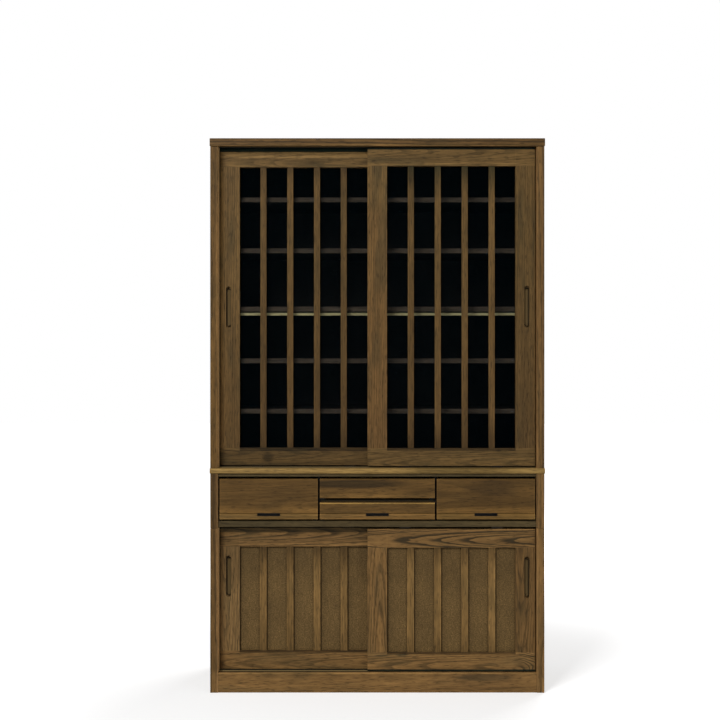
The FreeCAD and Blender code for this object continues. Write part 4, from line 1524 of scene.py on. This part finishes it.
@dataclass
class Studio:
    """A white floor and surroundings, and soft lamps from the front, above and behind."""

    floor_size: float = 40.0
    floor_drop: float = 0.5 * MM
    floor_white: Colour = grey(0.8)
    near_glow: float = 0.5
    glow_start: float = 0.9
    glow_end: float = 2.6
    ambient: float = 0.18
    lamps: tuple[Lamp, ...] = (
        Lamp("key", (-2.6, -6.0, 4.2), (0.0, -0.2, 0.8), 2.0, 342.0),
        Lamp("fill", (3.8, -5.2, 0.9), (0.0, -0.2, 0.6), 2.6, 40.0),
        Lamp("rear", (2.6, 4.6, 3.4), (0.0, 0.2, 1.0), 3.0, 160.0),
    )

    def seen(self, shader: Shader) -> Socket:
        """1 for rays from the camera, a reflection or a pane, 0 for the rest."""
        path = shader.node("ShaderNodeLightPath")
        outputs = (path.outputs[f"Is {kind} Ray"] for kind in ("Camera", "Glossy", "Transmission"))
        camera, glossy, through = (Socket(shader, output) for output in outputs)
        return shader.maths("MAXIMUM", shader.maths("MAXIMUM", camera, glossy), through)

    def build_world(self) -> None:
        """White where it is seen, dim where it only lights."""
        world = bpy.data.worlds.new("surroundings")
        world.use_nodes = True
        bpy.context.scene.world = world
        shader = Shader(world.node_tree)
        dim, white = (
            shader.value("ShaderNodeBackground", {}, {"Color": WHITE, "Strength": strength})
            for strength in (self.ambient, 1.0)
        )
        both = shader.node("ShaderNodeMixShader", {}, {0: self.seen(shader), 1: dim, 2: white})
        shader.finish(both, "ShaderNodeOutputWorld")

    def build_floor(self) -> None:
        """A flat floor that keeps the shadow near the cupboard and glows to white away from it."""
        half = self.floor_size / 2
        flat = np.array([(-half, -half), (half, -half), (half, half), (-half, half)])
        points = np.column_stack([flat, np.full(4, -self.floor_drop)])
        mesh = bpy.data.meshes.new("floor")
        mesh.from_pydata(points.tolist(), [], [(0, 1, 2, 3)])
        floor = bpy.data.objects.new("floor", mesh)
        bpy.context.scene.collection.objects.link(floor)
        material, shader = new_material("floor_white")
        x, y, _ = shader.place
        distance = shader.maths("SQRT", x * x + y * y)
        away = shader.step(distance, self.glow_start, self.glow_end)
        glow = (away * (1.0 - self.near_glow) + self.near_glow) * self.seen(shader)
        matt = shader.value("ShaderNodeBsdfDiffuse", {}, {"Color": self.floor_white})
        light = shader.value("ShaderNodeEmission", {}, {"Color": WHITE, "Strength": glow})
        shader.finish(shader.node("ShaderNodeAddShader", {}, {0: matt, 1: light}))
        mesh.materials.append(material)

    def build(self) -> None:
        """Set up the floor, the surroundings and the lamps."""
        bpy.context.scene.view_settings.view_transform = "Standard"
        self.build_world()
        self.build_floor()
        for lamp in self.lamps:
            lamp.build()


@dataclass(frozen=True)
class Viewpoint:
    """A level camera square to the front, with the cupboard where the photograph has it."""

    distance: float = 4.8
    image: float = 720.0
    left_pixel: float = 209.6
    right_pixel: float = 545.1
    foot_pixel: float = 693.1
    sensor: float = 36.0

    def build(self) -> None:
        """Make the camera: its lens gives the front's width in pixels, its own place the front's place."""
        low, high = CAD_BOX
        per_metre = (self.right_pixel - self.left_pixel) / (high.x - low.x)
        camera = bpy.data.cameras.new("camera")
        camera.sensor_width = self.sensor
        camera.lens = per_metre * self.distance * self.sensor / self.image
        middle_pixel = (self.left_pixel + self.right_pixel) / 2
        aside = (self.image / 2 - middle_pixel) / per_metre
        height = low.z + (self.foot_pixel - self.image / 2) / per_metre
        eye = bpy.data.objects.new("camera", camera)
        eye.location = ((low.x + high.x) / 2 + aside, low.y - self.distance, height)
        eye.rotation_euler = (math.pi / 2, 0.0, 0.0)
        bpy.context.scene.collection.objects.link(eye)
        bpy.context.scene.camera = eye


def main() -> None:
    """Build and dress the cupboard, then the studio and the camera."""
    logging.basicConfig(level=logging.INFO, format="%(name)s: %(message)s")
    assemblies = [
        Carcass(),
        SlidingDoor(
            "upper_left_door",
            Infill.GLASS,
            OLIVE,
            rail_figure=0.4,
            top_tone=0.72,
            foot_tone=0.54,
            pull_tone=0.72,
            meeting_tone=0.8,
            slat_tone=0.66,
            slat_tones=(0.9, 1.02, 0.94, 0.91),
            slat_foot=0.7,
            fall=(0.85, 0.82, 0.83),
            outer_painted_light=1.42,
            shade_height=9 * MM,
            shade_tint=(0.025, 0.12, 0.2),
            gleam=1.75,
            gleam_height=22 * MM,
            foot_shade_height=5 * MM,
            knot=Spot(-395 * MM, 838 * MM, 30 * MM, 24 * MM, (0.4, 0.42, 0.42), 0.25),
        ),
        SlidingDoor(
            "upper_right_door",
            Infill.GLASS,
            OLIVE,
            rail_figure=0.4,
            top_tone=0.74,
            foot_tone=0.68,
            pull_tone=0.61,
            meeting_tone=0.79,
            meeting_marks=(Band(Z, 1790 * MM, 1690 * MM, (1.04, 0.98, 0.97)),),
            slat_tone=0.77,
            slat_tones=(0.76, 0.92, 0.9, 1.02),
            slat_head_shade=(0.27, 0.36, 0.38),
            slat_foot=0.56,
            slat_fade=125 * MM,
            fall=(0.92, 0.89, 0.91),
            pull_head=1.08,
            shade_height=4.6 * MM,
            shade_tint=(0.05, 0.15, 0.26),
            gleam=1.22,
            foot_shade_height=2 * MM,
        ),
        SlidingDoor(
            "lower_left_door",
            Infill.PANEL,
            STAINED,
            rail_figure=0.76,
            top_tone=0.92,
            foot_tone=1.1,
            foot_calm=0.6,
            pull_tone=1.1,
            pull_marks=(Band.everywhere((1.0, 1.08, 1.2)),),
            stile_sawing=Sawing.FLAT,
            stile_figure=0.42,
            slat_tone=1.24,
            slat_tones=(0.93, 0.9, 1.05, 0.92),
            slat_head_shade=grey(0.4),
            slat_foot=0.76,
            slat_fade=135 * MM,
            pull_head=0.72,
            outer_painted_light=1.2,
            shade_height=15.5 * MM,
            shade_tint=(0.56, 0.64, 0.72),
            gleam=1.25,
        ),
        SlidingDoor(
            "lower_right_door",
            Infill.PANEL,
            STAINED,
            rail_figure=1.0,
            top_tone=0.96,
            foot_tone=1.25,
            foot_calm=0.55,
            pull_tone=0.83,
            meeting_tone=1.1,
            stile_sawing=Sawing.FLAT,
            stile_figure=0.5,
            slat_tone=1.36,
            slat_tones=(0.96, 0.85, 0.96, 1.08),
            slat_head_shade=grey(0.5),
            slat_foot=0.62,
            pull_head=0.92,
            lower_edge_shade_tint=(0.1, 0.2, 0.32),
            rail_spots=(
                Spot(88 * MM, 131 * MM, 30 * MM, 7 * MM, (0.55, 0.62, 0.7)),
                Spot(15 * MM, 129 * MM, 32 * MM, 6 * MM, (0.66, 0.72, 0.8)),
            ),
            knot=Spot(508 * MM, 58 * MM, 122 * MM, 150 * MM, (0.92, 0.94, 0.97), 0.0),
            knot_rings=5.5,
            knot_figure=0.95,
        ),
        Drawer(
            "left_drawer",
            tone=0.84,
            strip_tint=(0.86, 0.91, 0.91),
            glow_tint=(1.85, 1.82, 1.75),
            spots=(Spot(-330 * MM, 708 * MM, 110 * MM, 40 * MM, (0.84, 0.85, 0.88)),),
        ),
        Drawer(
            "right_drawer",
            tone=0.78,
            strip_tint=(1.02, 1.06, 1.05),
            glow_tint=(2.0, 1.96, 1.85),
            spots=(Spot(410 * MM, 733 * MM, 130 * MM, 42 * MM, (0.64, 0.66, 0.74)),),
        ),
        Drawer(
            "centre_upper_drawer",
            slotted=False,
            spots=(Spot(-98 * MM, 747 * MM, 286 * MM, 23 * MM, (0.28, 0.31, 0.38), 0.4),),
            foot_glow_tint=(1.35, 1.34, 1.3),
        ),
        Drawer("centre_lower_drawer", lit_arris=True, tone=0.86, patch=0.15),
    ]
    for assembly in assemblies:
        assembly.build()
        assembly.dress()
    Studio().build()
    Viewpoint().build()


if __name__ == "__main__":
    main()
